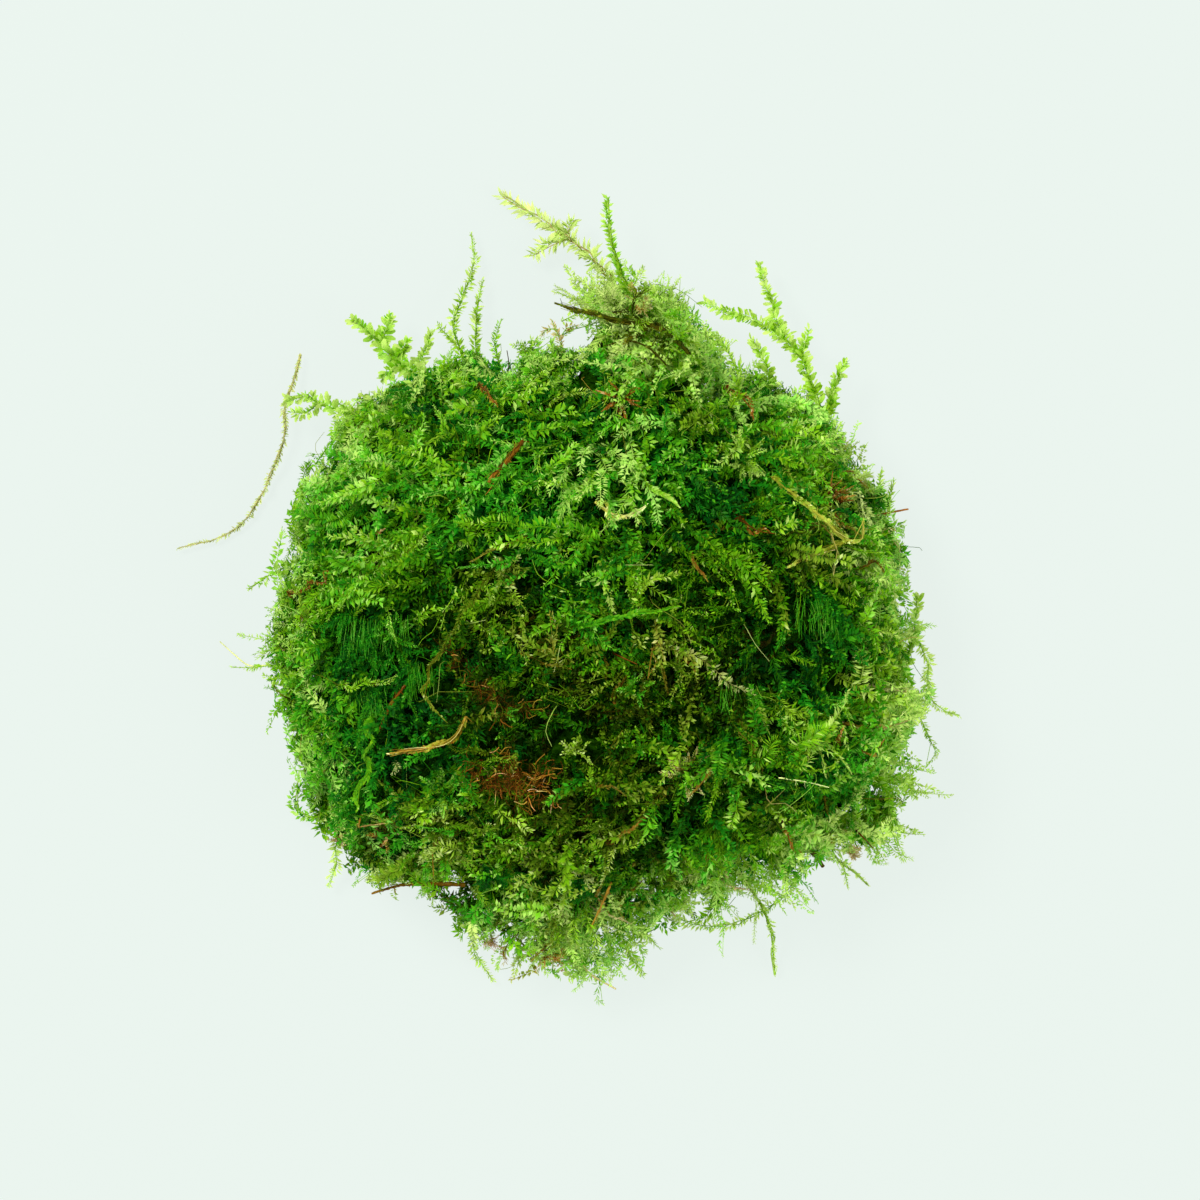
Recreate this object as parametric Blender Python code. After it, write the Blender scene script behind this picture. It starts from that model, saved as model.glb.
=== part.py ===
"""A loose clump of feathery aquarium moss, as it lies on a table after being lifted out of the water.

The matted body is one solid: its shoots are felted together, and bundles of them stand up as overlapping
combed locks. Every shoot that strays from the body, and every dead stem or scrap caught in it, is a solid of
its own that sits in a snug socket of the body. Numbers are in millimetres until a mesh is made.
+X is right and +Y is away from the viewer of the clump as seen from above; the table is z = 0.
"""

import math

import bmesh
import bpy
from mathutils import Vector, noise
from mathutils.bvhtree import BVHTree

MM = 0.001
GAP = 0.3  # clearance kept between a piece and the socket that holds it

# The body
BODY_HEIGHT = 28.0  # top of the body above the table, without its lumps
BELLY_HEIGHT = 8.0  # where the body is widest
UNDER_DEPTH = 12.0  # how deep the underside would bulge if the table did not cut it flat
DOME_SQUARENESS = 2.1  # 2 is an ellipsoid, more is fuller shouldered
MEAN_REACH = 30.5
RIM_BAND_DEG = 34.0  # rim tufts fade out this far above and below the belly
BODY_TRIANGLES = 4800

# How far the body reaches from its middle at each bearing, counter-clockwise from +X
RIM = (
    (0, 29.8), (10, 29.4), (18, 30.8), (27, 32.0), (39, 31.5), (48, 32.5), (58, 31.8), (66, 30.0),
    (74, 34.2), (84, 36.0), (91, 37.0), (96, 31.0), (103, 31.6), (110, 31.2), (118, 32.2), (126, 33.5),
    (137, 34.0), (148, 33.0), (158, 32.5), (170, 35.0), (184, 33.0), (196, 32.0), (211, 32.5),
    (224, 31.0), (235, 29.0), (245, 30.5), (256, 32.0), (270, 32.5), (276, 31.0), (281, 27.5),
    (287, 28.0), (299, 28.5), (313, 29.5), (327, 32.5), (337, 33.0), (351, 32.0),
)

# Which way the shoots' tips point, seen from above: a place on the body and a bearing
COMB = (
    (-20, 15, 195), (-12, 20, 190), (-24, -2, 268), (-27, 8, 165), (-5, 27, 45), (8, 22, 250), (10, 14, -30),
    (23, 13, -50), (28, 0, -40), (22, -12, 45), (5, -15, 240), (-5, -28, -70), (12, -26, -80),
    (-15, -15, 200), (-25, -14, 255), (0, 5, 225), (9, 3, 190), (-18, 28, 120), (20, 26, 55),
)

# Dark hollows between the locks: a place, how wide and how deep
HOLLOWS = (
    (-24.3, 10.7, 3.2, 3.6), (-20.3, 14.4, 2.6, 2.8), (-8.1, 5.9, 3.0, 2.6), (-5.2, -4.1, 3.0, 4.2),
    (-0.7, -8.5, 2.6, 4.0), (-11.2, 4.8, 2.2, 2.2), (3.3, -13.6, 2.6, 2.8), (12.2, -15.0, 2.6, 2.8),
    (18.0, -4.6, 3.6, 3.2), (23.7, -3.7, 2.6, 2.4), (10.7, 2.9, 3.0, 2.8), (18.9, 4.9, 2.4, 2.6),
    (14.3, 16.6, 2.6, 2.4), (-21.0, -11.0, 3.0, 2.8), (7.3, -17.8, 2.2, 2.2), (-16.0, -1.5, 2.4, 2.2),
    (-3.5, -3.0, 9.0, 2.0),
)

# Lobes of the rim that lie low on the table: a place, how wide, and the share of its height that it loses
LOW_LOBES = ((-2.0, -31.0, 10.0, 0.42), (7.0, -26.0, 7.0, 0.42))

# Locks: bundles of shoots, felted at the root and lifted at the tip
LOCK_COUNT = 150
LOCK_LENGTH = 12.0
LOCK_HALF_WIDTH = 2.7
LOCK_RISE = 3.2
LOCK_BED = 1.9  # the locks' mean height: the bare body is this much smaller, so the outline keeps to RIM
GOLDEN_TURN = math.pi * (3 - math.sqrt(5))

# A leafy shoot as a flat solid: its leaves in steps of this length along the stem
LEAF_STEP = 2.4
NOTCH = 0.62  # width between two steps, as a share of the width at a step
SHOOT_HALF_THICKNESS = 0.36

# Leafy shoots that stray from the body, from the buried root to the tip:
# name, material, half width, points, side branches (each a half width and its points)
SHOOTS = (
    ("long_pale_shoot", "pale_moss", 0.55,
     ((-30.2, 29.8, 1.0), (-30.9, 27.2, 1.6), (-31.7, 24.8, 2.6), (-31.9, 21.3, 2.0), (-33.6, 16.8, 1.2),
      (-36.8, 12.1, 0.8), (-42.6, 10.2, 0.8)), ()),
    ("arm_shoot_northwest", "green_moss", 1.3,
     ((-20.0, 20.5, 7.0), (-23.5, 22.8, 5.6), (-27.0, 24.2, 4.6), (-29.2, 25.4, 4.3), (-31.6, 25.3, 4.2)),
     ()),
    ("lobed_frond_northwest", "green_moss", 1.2,
     ((-15.0, 22.5, 8.0), (-17.6, 26.6, 6.6), (-20.0, 28.9, 5.4), (-21.9, 30.5, 4.6), (-24.8, 33.3, 3.8)),
     ((0.75, ((-20.2, 29.0, 5.4), (-20.9, 31.0, 5.0), (-20.8, 33.5, 4.6))),
      (0.8, ((-19.0, 28.2, 5.8), (-20.6, 27.7, 5.0), (-22.2, 27.0, 4.2))))),
    ("paddle_frond_northwest", "green_moss", 0.95,
     ((-15.4, 24.0, 5.5), (-17.9, 28.0, 4.2), (-17.6, 30.0, 3.7), (-17.0, 31.9, 3.4)), ()),
    ("tall_shoot_left", "green_moss", 0.8,
     ((-12.4, 25.0, 8.5), (-13.6, 29.0, 6.6), (-14.8, 32.2, 4.8), (-14.0, 35.2, 3.2), (-12.7, 39.0, 1.8),
      (-13.0, 42.0, 1.3)),
     ((0.65, ((-14.7, 31.0, 5.4), (-15.7, 32.0, 5.2), (-16.6, 33.1, 5.0))),)),
    ("tall_shoot_middle", "green_moss", 0.75,
     ((-10.6, 25.5, 6.0), (-12.4, 29.6, 4.6), (-12.5, 33.1, 3.0), (-11.9, 37.3, 1.4)), ()),
    ("tall_shoot_right", "green_moss", 0.6,
     ((-8.4, 25.0, 5.4), (-10.4, 29.6, 4.2), (-10.6, 31.6, 3.6), (-9.9, 33.3, 3.2)), ()),
    ("peach_sprig_north", "pale_moss", 0.7,
     ((-2.4, 26.4, 8.4), (-3.8, 29.6, 7.4), (-4.0, 31.2, 6.9), (-4.9, 33.0, 6.4)), ()),
    ("pale_feather_north", "pale_moss", 1.25,
     ((4.4, 32.0, 6.6), (1.6, 36.6, 5.4), (-1.0, 39.6, 4.4), (-4.0, 42.0, 3.2), (-6.8, 43.9, 2.2),
      (-9.6, 45.7, 1.6)),
     ((0.8, ((-4.4, 42.2, 3.1), (-5.6, 41.1, 2.6), (-6.9, 39.9, 2.0))),)),
    ("green_spike_north", "green_moss", 0.95,
     ((4.8, 33.2, 9.6), (2.4, 37.0, 8.8), (1.2, 40.6, 7.8), (0.6, 45.2, 6.6)), ()),
    ("left_sprig_north", "pale_moss", 0.8,
     ((2.0, 31.4, 10.6), (-1.2, 34.4, 9.0), (-4.6, 36.0, 7.6)), ()),
    ("long_frond_northeast", "green_moss", 1.25,
     ((22.6, 21.6, 9.6), (21.8, 25.2, 8.4), (20.4, 28.8, 7.4), (18.4, 31.6, 6.2), (17.2, 35.0, 4.6),
      (16.0, 38.9, 3.2)),
     ((1.0, ((18.6, 31.2, 6.4), (15.6, 33.0, 6.6), (12.8, 34.0, 6.4), (10.4, 34.9, 6.0))),
      (0.75, ((20.6, 28.2, 7.6), (20.3, 30.2, 7.2), (20.9, 32.0, 6.8))))),
    ("short_frond_northeast", "green_moss", 0.85,
     ((17.4, 24.0, 8.0), (17.0, 27.4, 6.6), (16.2, 29.4, 6.0), (15.3, 31.2, 5.4)), ()),
    ("arching_stem_northeast", "green_moss", 0.7,
     ((13.2, 24.2, 15.0), (13.8, 26.8, 16.4), (13.0, 29.2, 16.2), (11.8, 31.0, 15.2),
      (10.2, 31.6, 14.0)), ()),
    ("sprig_northeast", "green_moss", 0.7,
     ((21.4, 20.6, 8.0), (23.1, 24.6, 6.6), (23.5, 26.5, 6.0), (24.6, 29.0, 5.2)), ()),
    ("sprig_east_inner", "green_moss", 0.75,
     ((24.6, 12.6, 8.0), (27.6, 15.6, 7.0), (28.3, 18.1, 6.2)), ()),
    ("sprig_east_outer", "green_moss", 0.7,
     ((25.6, 10.2, 5.6), (28.8, 13.8, 4.8), (29.4, 17.0, 4.2)), ()),
    ("bright_frond_east", "green_moss", 1.0,
     ((26.6, -4.6, 7.4), (30.4, -1.6, 6.2), (31.5, 1.6, 5.4), (32.0, 5.6, 4.6)), ()),
    ("trailing_frond_southeast", "green_moss", 0.65,
     ((26.4, 1.6, 11.4), (31.0, 1.4, 9.0), (32.8, -0.8, 6.8), (33.1, -4.0, 4.2), (34.2, -5.9, 2.4),
      (36.4, -6.7, 1.2)), ()),
    ("looping_shoot_southeast", "green_moss", 0.6,
     ((26.4, -5.0, 3.0), (31.0, -5.0, 2.4), (33.0, -8.4, 1.5), (34.0, -10.4, 1.2), (32.9, -11.6, 1.0)), ()),
    ("forked_stem_southeast", "green_moss", 0.7,
     ((20.2, -17.4, 5.4), (23.6, -20.8, 3.8), (25.4, -22.2, 2.8), (27.1, -23.7, 1.8)),
     ((0.55, ((24.4, -21.4, 3.3), (24.8, -22.8, 2.5), (25.0, -24.0, 1.9))),)),
    ("long_stem_south", "green_moss", 0.62,
     ((12.0, -20.0, 9.0), (15.0, -23.8, 6.4), (16.8, -26.8, 4.0), (17.5, -30.0, 1.8), (17.7, -32.9, 1.0)),
     ()),
    ("lace_stem_south", "green_moss", 0.6,
     ((20.8, -21.4, 2.6), (18.4, -25.0, 1.8), (14.4, -27.4, 1.3), (10.8, -28.0, 1.2), (7.4, -26.9, 1.5),
      (4.4, -25.0, 2.4)), ()),
    ("bottom_curl_southwest", "green_moss", 0.65,
     ((-10.6, -23.6, 4.6), (-12.8, -27.6, 3.0), (-12.6, -30.6, 1.8), (-10.8, -33.4, 1.0)), ()),
    ("drooping_shoot_southwest", "green_moss", 0.65,
     ((-22.6, -15.8, 5.8), (-26.2, -18.6, 4.2), (-26.6, -21.2, 2.6), (-27.4, -23.9, 1.5)), ()),
    ("curled_shoot_west", "green_moss", 0.7,
     ((-25.0, -15.6, 2.4), (-28.6, -17.2, 1.8), (-30.3, -16.4, 1.4), (-31.0, -14.8, 1.3),
      (-30.6, -13.0, 1.4)), ()),
    ("sprig_west", "green_moss", 0.85,
     ((-27.4, 9.8, 9.4), (-30.8, 8.6, 8.2), (-33.0, 7.6, 7.4), (-35.2, 6.0, 6.6)), ()),
    ("small_curl_southwest", "green_moss", 0.5,
     ((-19.6, -18.6, 2.8), (-22.6, -22.0, 2.0), (-24.0, -22.4, 1.6), (-24.9, -23.6, 1.2)), ()),
    ("bottom_sprig_south", "green_moss", 0.7,
     ((1.6, -27.0, 7.0), (2.9, -30.4, 5.6), (4.3, -32.5, 4.4)), ()),
)

# Bare dead stems and hairs rooted in the body: name, material, radius, points, side branches
STEMS = (
    ("pale_hair_west", "tan_stem", 0.22,
     ((-28.0, -1.6, 5.4), (-33.4, -1.6, 3.8), (-35.4, -1.6, 2.6), (-36.8, -0.6, 1.6), (-38.4, 0.8, 0.9)), ()),
    ("brown_stem_east", "brown_stem", 0.26, ((24.6, 12.9, 9.4), (27.6, 13.5, 8.8), (30.9, 14.1, 8.2)), ()),
    ("pale_stem_south", "tan_stem", 0.26, ((-3.4, -28.4, 6.2), (-1.4, -32.2, 4.6), (1.6, -34.2, 3.4)), ()),
    ("bark_bit_southeast", "dark_twig", 0.45,
     ((20.6, -19.6, 7.2), (21.8, -20.8, 6.6), (22.4, -21.8, 6.0)), ()),
)

# Dead stems and rootlets that lie on the body, seen from above: name, material, radius, points, side branches
SCRAPS = (
    ("brown_stem_southwest", "brown_stem", 0.3,
     ((-13.4, -23.3), (-16.9, -23.2), (-19.8, -23.4), (-22.8, -24.3)), ()),
    ("dark_twig_north", "dark_twig", 0.45,
     ((8.8, 29.4), (7.0, 31.4), (4.6, 32.4), (1.8, 32.8), (-1.4, 33.6), (-4.5, 34.6)), ()),
    ("thin_twig_north", "dark_twig", 0.28, ((6.6, 28.2), (4.8, 30.0), (2.8, 30.7), (0.4, 30.2)), ()),
    ("bark_chip", "brown_stem", 0.42, ((-7.6, 20.7), (-9.6, 18.2), (-11.0, 16.6)), ()),
    ("orange_stem", "rust_stem", 0.34, ((-13.1, -6.4), (-14.2, -8.3), (-16.2, -9.4), (-20.7, -10.1)), ()),
    ("hooked_stem", "tan_stem", 0.34,
     ((17.0, 17.2), (19.4, 15.2), (22.0, 13.0), (24.4, 10.9), (26.0, 11.2), (26.0, 12.8)),
     ((0.3, ((24.5, 10.9), (21.4, 9.6), (18.5, 8.3))),)),
    ("curled_tendril", "tan_stem", 0.2,
     ((-0.5, 14.6), (0.6, 13.9), (2.0, 13.1), (3.4, 13.5), (4.6, 14.4)), ()),
    ("pale_stem_southeast", "tan_stem", 0.2, ((17.6, -12.5), (20.2, -12.9), (22.6, -13.5)), ()),
    ("pink_stem_south", "rust_stem", 0.26, ((1.1, -23.0), (0.2, -25.2), (-0.9, -27.6)), ()),
    ("red_stem_west", "rust_stem", 0.24, ((-19.2, -3.4), (-20.6, -5.4), (-21.9, -8.0)), ()),
    ("dark_root_strand", "dark_twig", 0.45,
     ((-15.4, 0.6), (-13.4, -1.8), (-11.2, -3.9), (-7.8, -5.6), (-4.8, -6.2)),
     ((0.3, ((-11.6, -3.6), (-10.2, -5.4), (-9.6, -7.2))),)),
    ("rust_root_knot", "rust_stem", 0.5,
     ((-12.8, -11.6), (-10.4, -13.4), (-8.2, -12.6), (-6.0, -12.4), (-4.0, -11.2)),
     ((0.4, ((-10.5, -13.2), (-8.8, -11.0), (-9.6, -9.4))),
      (0.4, ((-8.3, -12.6), (-7.2, -14.6), (-8.6, -16.0))),
      (0.35, ((-6.1, -12.4), (-5.4, -14.2), (-3.8, -14.9))))),
)

LAID_STEEPEST = 0.8  # a stiff scrap bridges hollows: it climbs and falls no steeper than this
LAID_STEP = 0.8
STEM_SIDES = 4
STEM_STEP = 2.2

MATERIALS = {
    "mat_moss": ((0.055, 0.15, 0.012), 0.6),
    "green_moss": ((0.12, 0.34, 0.02), 0.55),
    "pale_moss": ((0.38, 0.5, 0.1), 0.55),
    "tan_stem": ((0.36, 0.27, 0.08), 0.7),
    "brown_stem": ((0.2, 0.09, 0.035), 0.8),
    "rust_stem": ((0.26, 0.09, 0.02), 0.75),
    "dark_twig": ((0.07, 0.045, 0.025), 0.8),
}


def clear_scene():
    for obj in list(bpy.data.objects):
        bpy.data.objects.remove(obj)


def make_materials():
    made = {}
    for name, (colour, roughness) in MATERIALS.items():
        mat = bpy.data.materials.new(name)
        mat.use_nodes = True
        shader = mat.node_tree.nodes["Principled BSDF"]
        shader.inputs["Base Color"].default_value = (*colour, 1)
        shader.inputs["Roughness"].default_value = roughness
        shader.inputs["Metallic"].default_value = 0
        made[name] = mat
    return made


def add_object(name, bm, mat, smooth_deg=50):
    """Turns a bmesh in millimetres into an object in metres."""
    bmesh.ops.recalc_face_normals(bm, faces=bm.faces)
    bmesh.ops.scale(bm, vec=(MM, MM, MM), verts=bm.verts)
    mesh = bpy.data.meshes.new(name)
    bm.to_mesh(mesh)
    bm.free()
    mesh.materials.append(mat)
    mesh.shade_smooth()
    mesh.set_sharp_from_angle(angle=math.radians(smooth_deg))
    obj = bpy.data.objects.new(name, mesh)
    bpy.context.scene.collection.objects.link(obj)
    return obj


def combine(obj, other, operation):
    """Cuts or joins obj with other, exactly, and removes other."""
    step = obj.modifiers.new(operation.lower(), "BOOLEAN")
    step.operation = operation
    step.object = other
    step.solver = "EXACT"
    graph = bpy.context.evaluated_depsgraph_get()
    result = bpy.data.meshes.new_from_object(obj.evaluated_get(graph))
    obj.modifiers.remove(step)
    old = obj.data
    obj.data = result
    result.name = obj.name
    bpy.data.meshes.remove(old)
    bpy.data.objects.remove(other)


def ease(t):
    t = min(max(t, 0.0), 1.0)
    return t * t * (3 - 2 * t)


def rim_reach(bearing):
    """The body's reach at a bearing in degrees, eased between the points of RIM."""
    bearing %= 360
    for (low, reach), (high, next_reach) in zip(RIM, (*RIM[1:], (RIM[0][0] + 360, RIM[0][1]))):
        if low <= bearing <= high:
            return reach + (next_reach - reach) * ease((bearing - low) / (high - low))
    return RIM[0][1]


def comb_bearing(x, y):
    """Which way the tips point at a place, in radians: a blend of the nearest entries of COMB."""
    pull = Vector((0, 0))
    for cx, cy, bearing in COMB:
        turn = math.radians(bearing)
        pull += Vector((math.cos(turn), math.sin(turn))) / ((x - cx) ** 2 + (y - cy) ** 2 + 4)
    return math.atan2(pull.y, pull.x)


def bare_surface(way):
    """The point of the smooth body, before locks and hollows, in a direction from the belly's middle."""
    flat = math.hypot(way.x, way.y)
    climb = math.degrees(math.atan2(way.z, flat))
    bearing = math.degrees(math.atan2(way.y, way.x))
    band = math.exp(-((climb / RIM_BAND_DEG) ** 2))
    reach = MEAN_REACH + (rim_reach(bearing) - MEAN_REACH) * band
    tall = BODY_HEIGHT - BELLY_HEIGHT if way.z > 0 else UNDER_DEPTH
    power = DOME_SQUARENESS
    size = ((flat / reach) ** power + (abs(way.z) / tall) ** power) ** (-1 / power)
    lumps = noise.noise(way * 2.6 + Vector((3, 1, 7))) * 1.6
    return way * (size + lumps)


def make_locks():
    """Roots, headings and sizes of the locks, spread evenly over the body by the golden turn."""
    locks = []
    for i in range(LOCK_COUNT):
        height = 1 - 1.62 * (i + 0.5) / LOCK_COUNT
        turn = i * GOLDEN_TURN
        flat = math.sqrt(1 - height * height)
        way = Vector((flat * math.cos(turn), flat * math.sin(turn), height))
        root = bare_surface(way)
        bearing = comb_bearing(root.x, root.y) + 0.9 * noise.noise(way * 4.0 + Vector((9, 0, 0)))
        outward = Vector((way.x, way.y, 0)).normalized()
        heading = Vector((math.cos(bearing), math.sin(bearing), 0))
        heading = heading + outward * (1.4 * flat * flat)
        heading = (heading - way * heading.dot(way)).normalized()
        size = 1 + 0.4 * noise.noise(way * 5.0 + Vector((0, 5, 0)))
        locks.append((root, heading, way.cross(heading), size))
    return locks


def lock_rise(point, locks):
    """How far the highest lock over a point of the bare body stands proud there."""
    best = 0.0
    for root, heading, side, size in locks:
        off = point - root
        along = off.dot(heading) / (LOCK_LENGTH * size)
        if not 0 < along < 1.12:
            continue
        across = off.dot(side) / (LOCK_HALF_WIDTH * size)
        if abs(across) >= 1 or (off - heading * off.dot(heading) - side * off.dot(side)).length > LOCK_LENGTH:
            continue
        taper = 1 - ease((along - 0.88) / 0.2)
        best = max(best, LOCK_RISE * size * along**0.7 * (1 - across * across) * taper)
    return best


def hollow_depth(point):
    if point.z < BELLY_HEIGHT:
        return 0.0
    deep = 0.0
    for x, y, width, depth in HOLLOWS:
        near = math.hypot(point.x - x, point.y - y) / width
        deep = max(deep, depth * math.exp(-near * near))
    return deep


def lobe_drop(x, y):
    """The share of its height that the body loses at a place, because a low lobe lies there."""
    return max(share * math.exp(-((x - cx) ** 2 + (y - cy) ** 2) / width**2)
               for cx, cy, width, share in LOW_LOBES)


def build_body(mat):
    """The felted body: a lumpy dome of combed locks, cut flat where it rests."""
    middle = Vector((0, 0, BELLY_HEIGHT))
    locks = make_locks()
    bm = bmesh.new()
    bmesh.ops.create_icosphere(bm, subdivisions=6, radius=1)
    for vert in bm.verts:
        way = vert.co.normalized()
        bare = bare_surface(way)
        proud = lock_rise(bare, locks) - hollow_depth(middle + bare)
        vert.co = middle + bare + way * (proud - LOCK_BED)
        vert.co.z *= 1 - lobe_drop(vert.co.x, vert.co.y)
    everything = bm.verts[:] + bm.edges[:] + bm.faces[:]
    table = {"plane_co": (0, 0, 0), "plane_no": (0, 0, 1), "clear_inner": True}
    bmesh.ops.bisect_plane(bm, geom=everything, dist=1e-4, **table)
    rim = [edge for edge in bm.edges if edge.is_boundary]
    bmesh.ops.contextual_create(bm, geom=rim)
    bmesh.ops.triangulate(bm, faces=bm.faces)
    body = add_object("moss_mat", bm, mat)
    thin = body.modifiers.new("fewer_faces", "DECIMATE")
    thin.ratio = BODY_TRIANGLES / len(body.data.polygons)
    graph = bpy.context.evaluated_depsgraph_get()
    result = bpy.data.meshes.new_from_object(body.evaluated_get(graph))
    body.modifiers.clear()
    body.data = result
    for vert in result.vertices:
        if vert.co.z < 0.05 * MM:
            vert.co.z = 0  # the decimator nudges the flat base
    return body


def surface_finder(body):
    """A function that gives the height of the body's upper surface, or the table's beside it."""
    tree = BVHTree.FromPolygons([v.co / MM for v in body.data.vertices],
                                [p.vertices[:] for p in body.data.polygons])

    def height(x, y):
        hit = tree.ray_cast(Vector((x, y, 2 * BODY_HEIGHT)), Vector((0, 0, -1)))[0]
        return hit.z if hit else 0.0

    return height


def curve_through(points, step):
    """Points along a smooth curve through the given ones, about step apart."""
    ends = (points[0] * 2 - points[1], *points, points[-1] * 2 - points[-2])
    found = []
    for before, start, stop, after in zip(ends, ends[1:], ends[2:], ends[3:]):
        count = max(1, round((stop - start).length / step))
        for i in range(count):
            t = i / count
            found.append(0.5 * (2 * start + (stop - before) * t
                                + (2 * before - 5 * start + 4 * stop - after) * t**2
                                + (3 * start - before - 3 * stop + after) * t**3))
    return [*found, points[-1]]


def frames_along(path):
    """The heading, level side and upper side at each point of a path."""
    for i, point in enumerate(path):
        heading = (path[min(i + 1, len(path) - 1)] - path[max(i - 1, 0)]).normalized()
        side = heading.cross(Vector((0, 0, 1)))
        side = side.normalized() if side.length > 1e-3 else Vector((1, 0, 0))
        yield point, heading, side, side.cross(heading)


def close_loops(bm, rings, tip):
    """Skins the rings one after another, caps the first and brings the last to the tip point."""
    for ring, after in zip(rings, rings[1:]):
        for i, vert in enumerate(ring):
            other = (i + 1) % len(ring)
            bm.faces.new((vert, ring[other], after[other], after[i]))
    bm.faces.new(rings[0])
    point = bm.verts.new(tip)
    for i, vert in enumerate(rings[-1]):
        bm.faces.new((vert, rings[-1][(i + 1) % len(rings[-1])], point))


def leafy_solid(points, half_width, grow):
    """A shoot with its two rows of leaves: a flat blade with stepped edges, grown all round by grow."""
    points = [Vector(p) for p in points]
    root_way = (points[0] - points[1]).normalized()
    points[0] = points[0] + root_way * grow
    path = curve_through(points, LEAF_STEP / 2)
    if grow:
        path = [*path[:-1:2], path[-1]]  # a socket needs no notches
    bm = bmesh.new()
    rings = []
    last = len(path) - 1
    for i, (point, _heading, side, up) in enumerate(frames_along(path)):
        if i == last:
            break
        share = i / last
        full = 1 if grow or i % 2 else NOTCH
        taper = min(1.0, 0.6 + 2.0 * share) * (1 - 0.55 * share**3)
        wide = half_width * full * taper + grow
        thick = SHOOT_HALF_THICKNESS * (1 - 0.4 * share) + grow
        corners = (side * wide, up * thick, -side * wide, -up * thick)
        rings.append([bm.verts.new(point + way) for way in corners])
    tip = path[-1] + (path[-1] - path[-2]).normalized() * grow
    close_loops(bm, rings, tip)
    return bm


def stem_solid(points, radius, grow):
    """A bare stem: a tube that thins towards its tip."""
    path = curve_through([Vector(p) for p in points], STEM_STEP)
    bm = bmesh.new()
    rings = []
    last = len(path) - 1
    for i, (point, heading, side, up) in enumerate(frames_along(path)):
        if i == last:
            break
        wide = radius * (1 - 0.35 * i / last) + grow
        start = heading * (-grow if i == 0 else 0)
        ring = []
        for k in range(STEM_SIDES):
            turn = 2 * math.pi * k / STEM_SIDES
            ring.append(bm.verts.new(point + start + (side * math.cos(turn) + up * math.sin(turn)) * wide))
        rings.append(ring)
    tip = path[-1] + (path[-1] - path[-2]).normalized() * grow
    close_loops(bm, rings, tip)
    return bm


def build_piece(name, mat, shape, main, branches, grow=0.0):
    """One shoot or stem with its side branches joined on. main and each branch are a width and points."""
    width, points = main
    piece = add_object(name, shape(points, width, grow), mat)
    for i, (branch_width, branch_points) in enumerate(branches):
        part = add_object(f"{name}_branch_{i}", shape(branch_points, branch_width, grow), mat)
        combine(piece, part, "UNION")
    return piece


def set_in_body(body, name, mat, shape, main, branches=()):
    """Builds a piece, and cuts its socket into the body with GAP all round it."""
    build_piece(name, mat, shape, main, branches)
    cutter = build_piece(f"{name}_socket", mat, shape, main, branches, GAP)
    combine(body, cutter, "DIFFERENCE")


def laid_line(points, radius, height):
    """A line seen from above, laid on the body: clear of every lump under it, and bridging the hollows."""
    line = curve_through([Vector((x, y, 0)) for x, y in points], LAID_STEP)
    reach = radius + GAP
    around = [(0, 0)] + [(reach * math.cos(k), reach * math.sin(k)) for k in range(6)]
    need = [max(height(p.x + dx, p.y + dy) for dx, dy in around) + reach for p in line]
    for i, point in enumerate(line):
        point.z = max(n - LAID_STEEPEST * LAID_STEP * abs(i - k) for k, n in enumerate(need)) + GAP / 2
    return [*line[:-1:2], line[-1]]


def laid_branches(branches, height):
    return [(radius, laid_line(points, radius, height)) for radius, points in branches]


def main():
    clear_scene()
    materials = make_materials()
    body = build_body(materials["mat_moss"])
    height = surface_finder(body)
    for name, mat, half_width, points, branches in SHOOTS:
        set_in_body(body, name, materials[mat], leafy_solid, (half_width, points), branches)
    for name, mat, radius, points, branches in STEMS:
        set_in_body(body, name, materials[mat], stem_solid, (radius, points), branches)
    for name, mat, radius, points, branches in SCRAPS:
        line = (radius, laid_line(points, radius, height))
        build_piece(name, materials[mat], stem_solid, line, laid_branches(branches, height))


main()
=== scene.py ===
"""The moss clump's looks: leafy shoots felted into a cushion, stray fronds, and dead stems and rootlets.

Lengths are in millimetres until a mesh is made. A colour is a place on a palette, kept in each piece's UV
map: u is the tone, dark to bright, and v the kind, from emerald over lime and olive to brown.
"""

import math

import bmesh
import bpy
import numpy as np
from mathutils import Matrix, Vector
from mathutils.bvhtree import BVHTree


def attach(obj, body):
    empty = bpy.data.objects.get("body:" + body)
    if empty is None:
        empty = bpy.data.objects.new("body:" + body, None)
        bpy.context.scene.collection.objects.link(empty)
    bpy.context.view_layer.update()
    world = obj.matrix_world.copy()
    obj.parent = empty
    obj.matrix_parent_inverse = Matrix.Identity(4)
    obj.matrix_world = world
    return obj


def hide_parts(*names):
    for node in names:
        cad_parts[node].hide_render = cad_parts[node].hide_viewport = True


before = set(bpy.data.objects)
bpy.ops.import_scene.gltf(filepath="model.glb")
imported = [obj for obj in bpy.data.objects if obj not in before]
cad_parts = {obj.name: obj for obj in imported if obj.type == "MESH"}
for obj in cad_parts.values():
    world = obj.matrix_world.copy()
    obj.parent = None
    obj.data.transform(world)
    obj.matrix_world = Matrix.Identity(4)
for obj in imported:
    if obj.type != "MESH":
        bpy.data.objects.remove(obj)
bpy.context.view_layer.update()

MM = 0.001
UV_MAP = "OFBake"
rng = np.random.default_rng(0)

# Kinds of colour, as v on the palette
EMERALD, LIME, OLIVE, BROWN = 0.1, 0.35, 0.6, 0.85

# The camera looks straight down. At FOCUS_HEIGHT its view is 120 mm wide: one pixel of the photo is 0.1 mm.
PIXEL = 0.1
PHOTO_WIDTH = 1200 * PIXEL
FOCUS_HEIGHT = 10.0
CAMERA_DISTANCE = 900.0
CAMERA_HEIGHT = FOCUS_HEIGHT + CAMERA_DISTANCE
CAMERA_Y = 5.0

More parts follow.
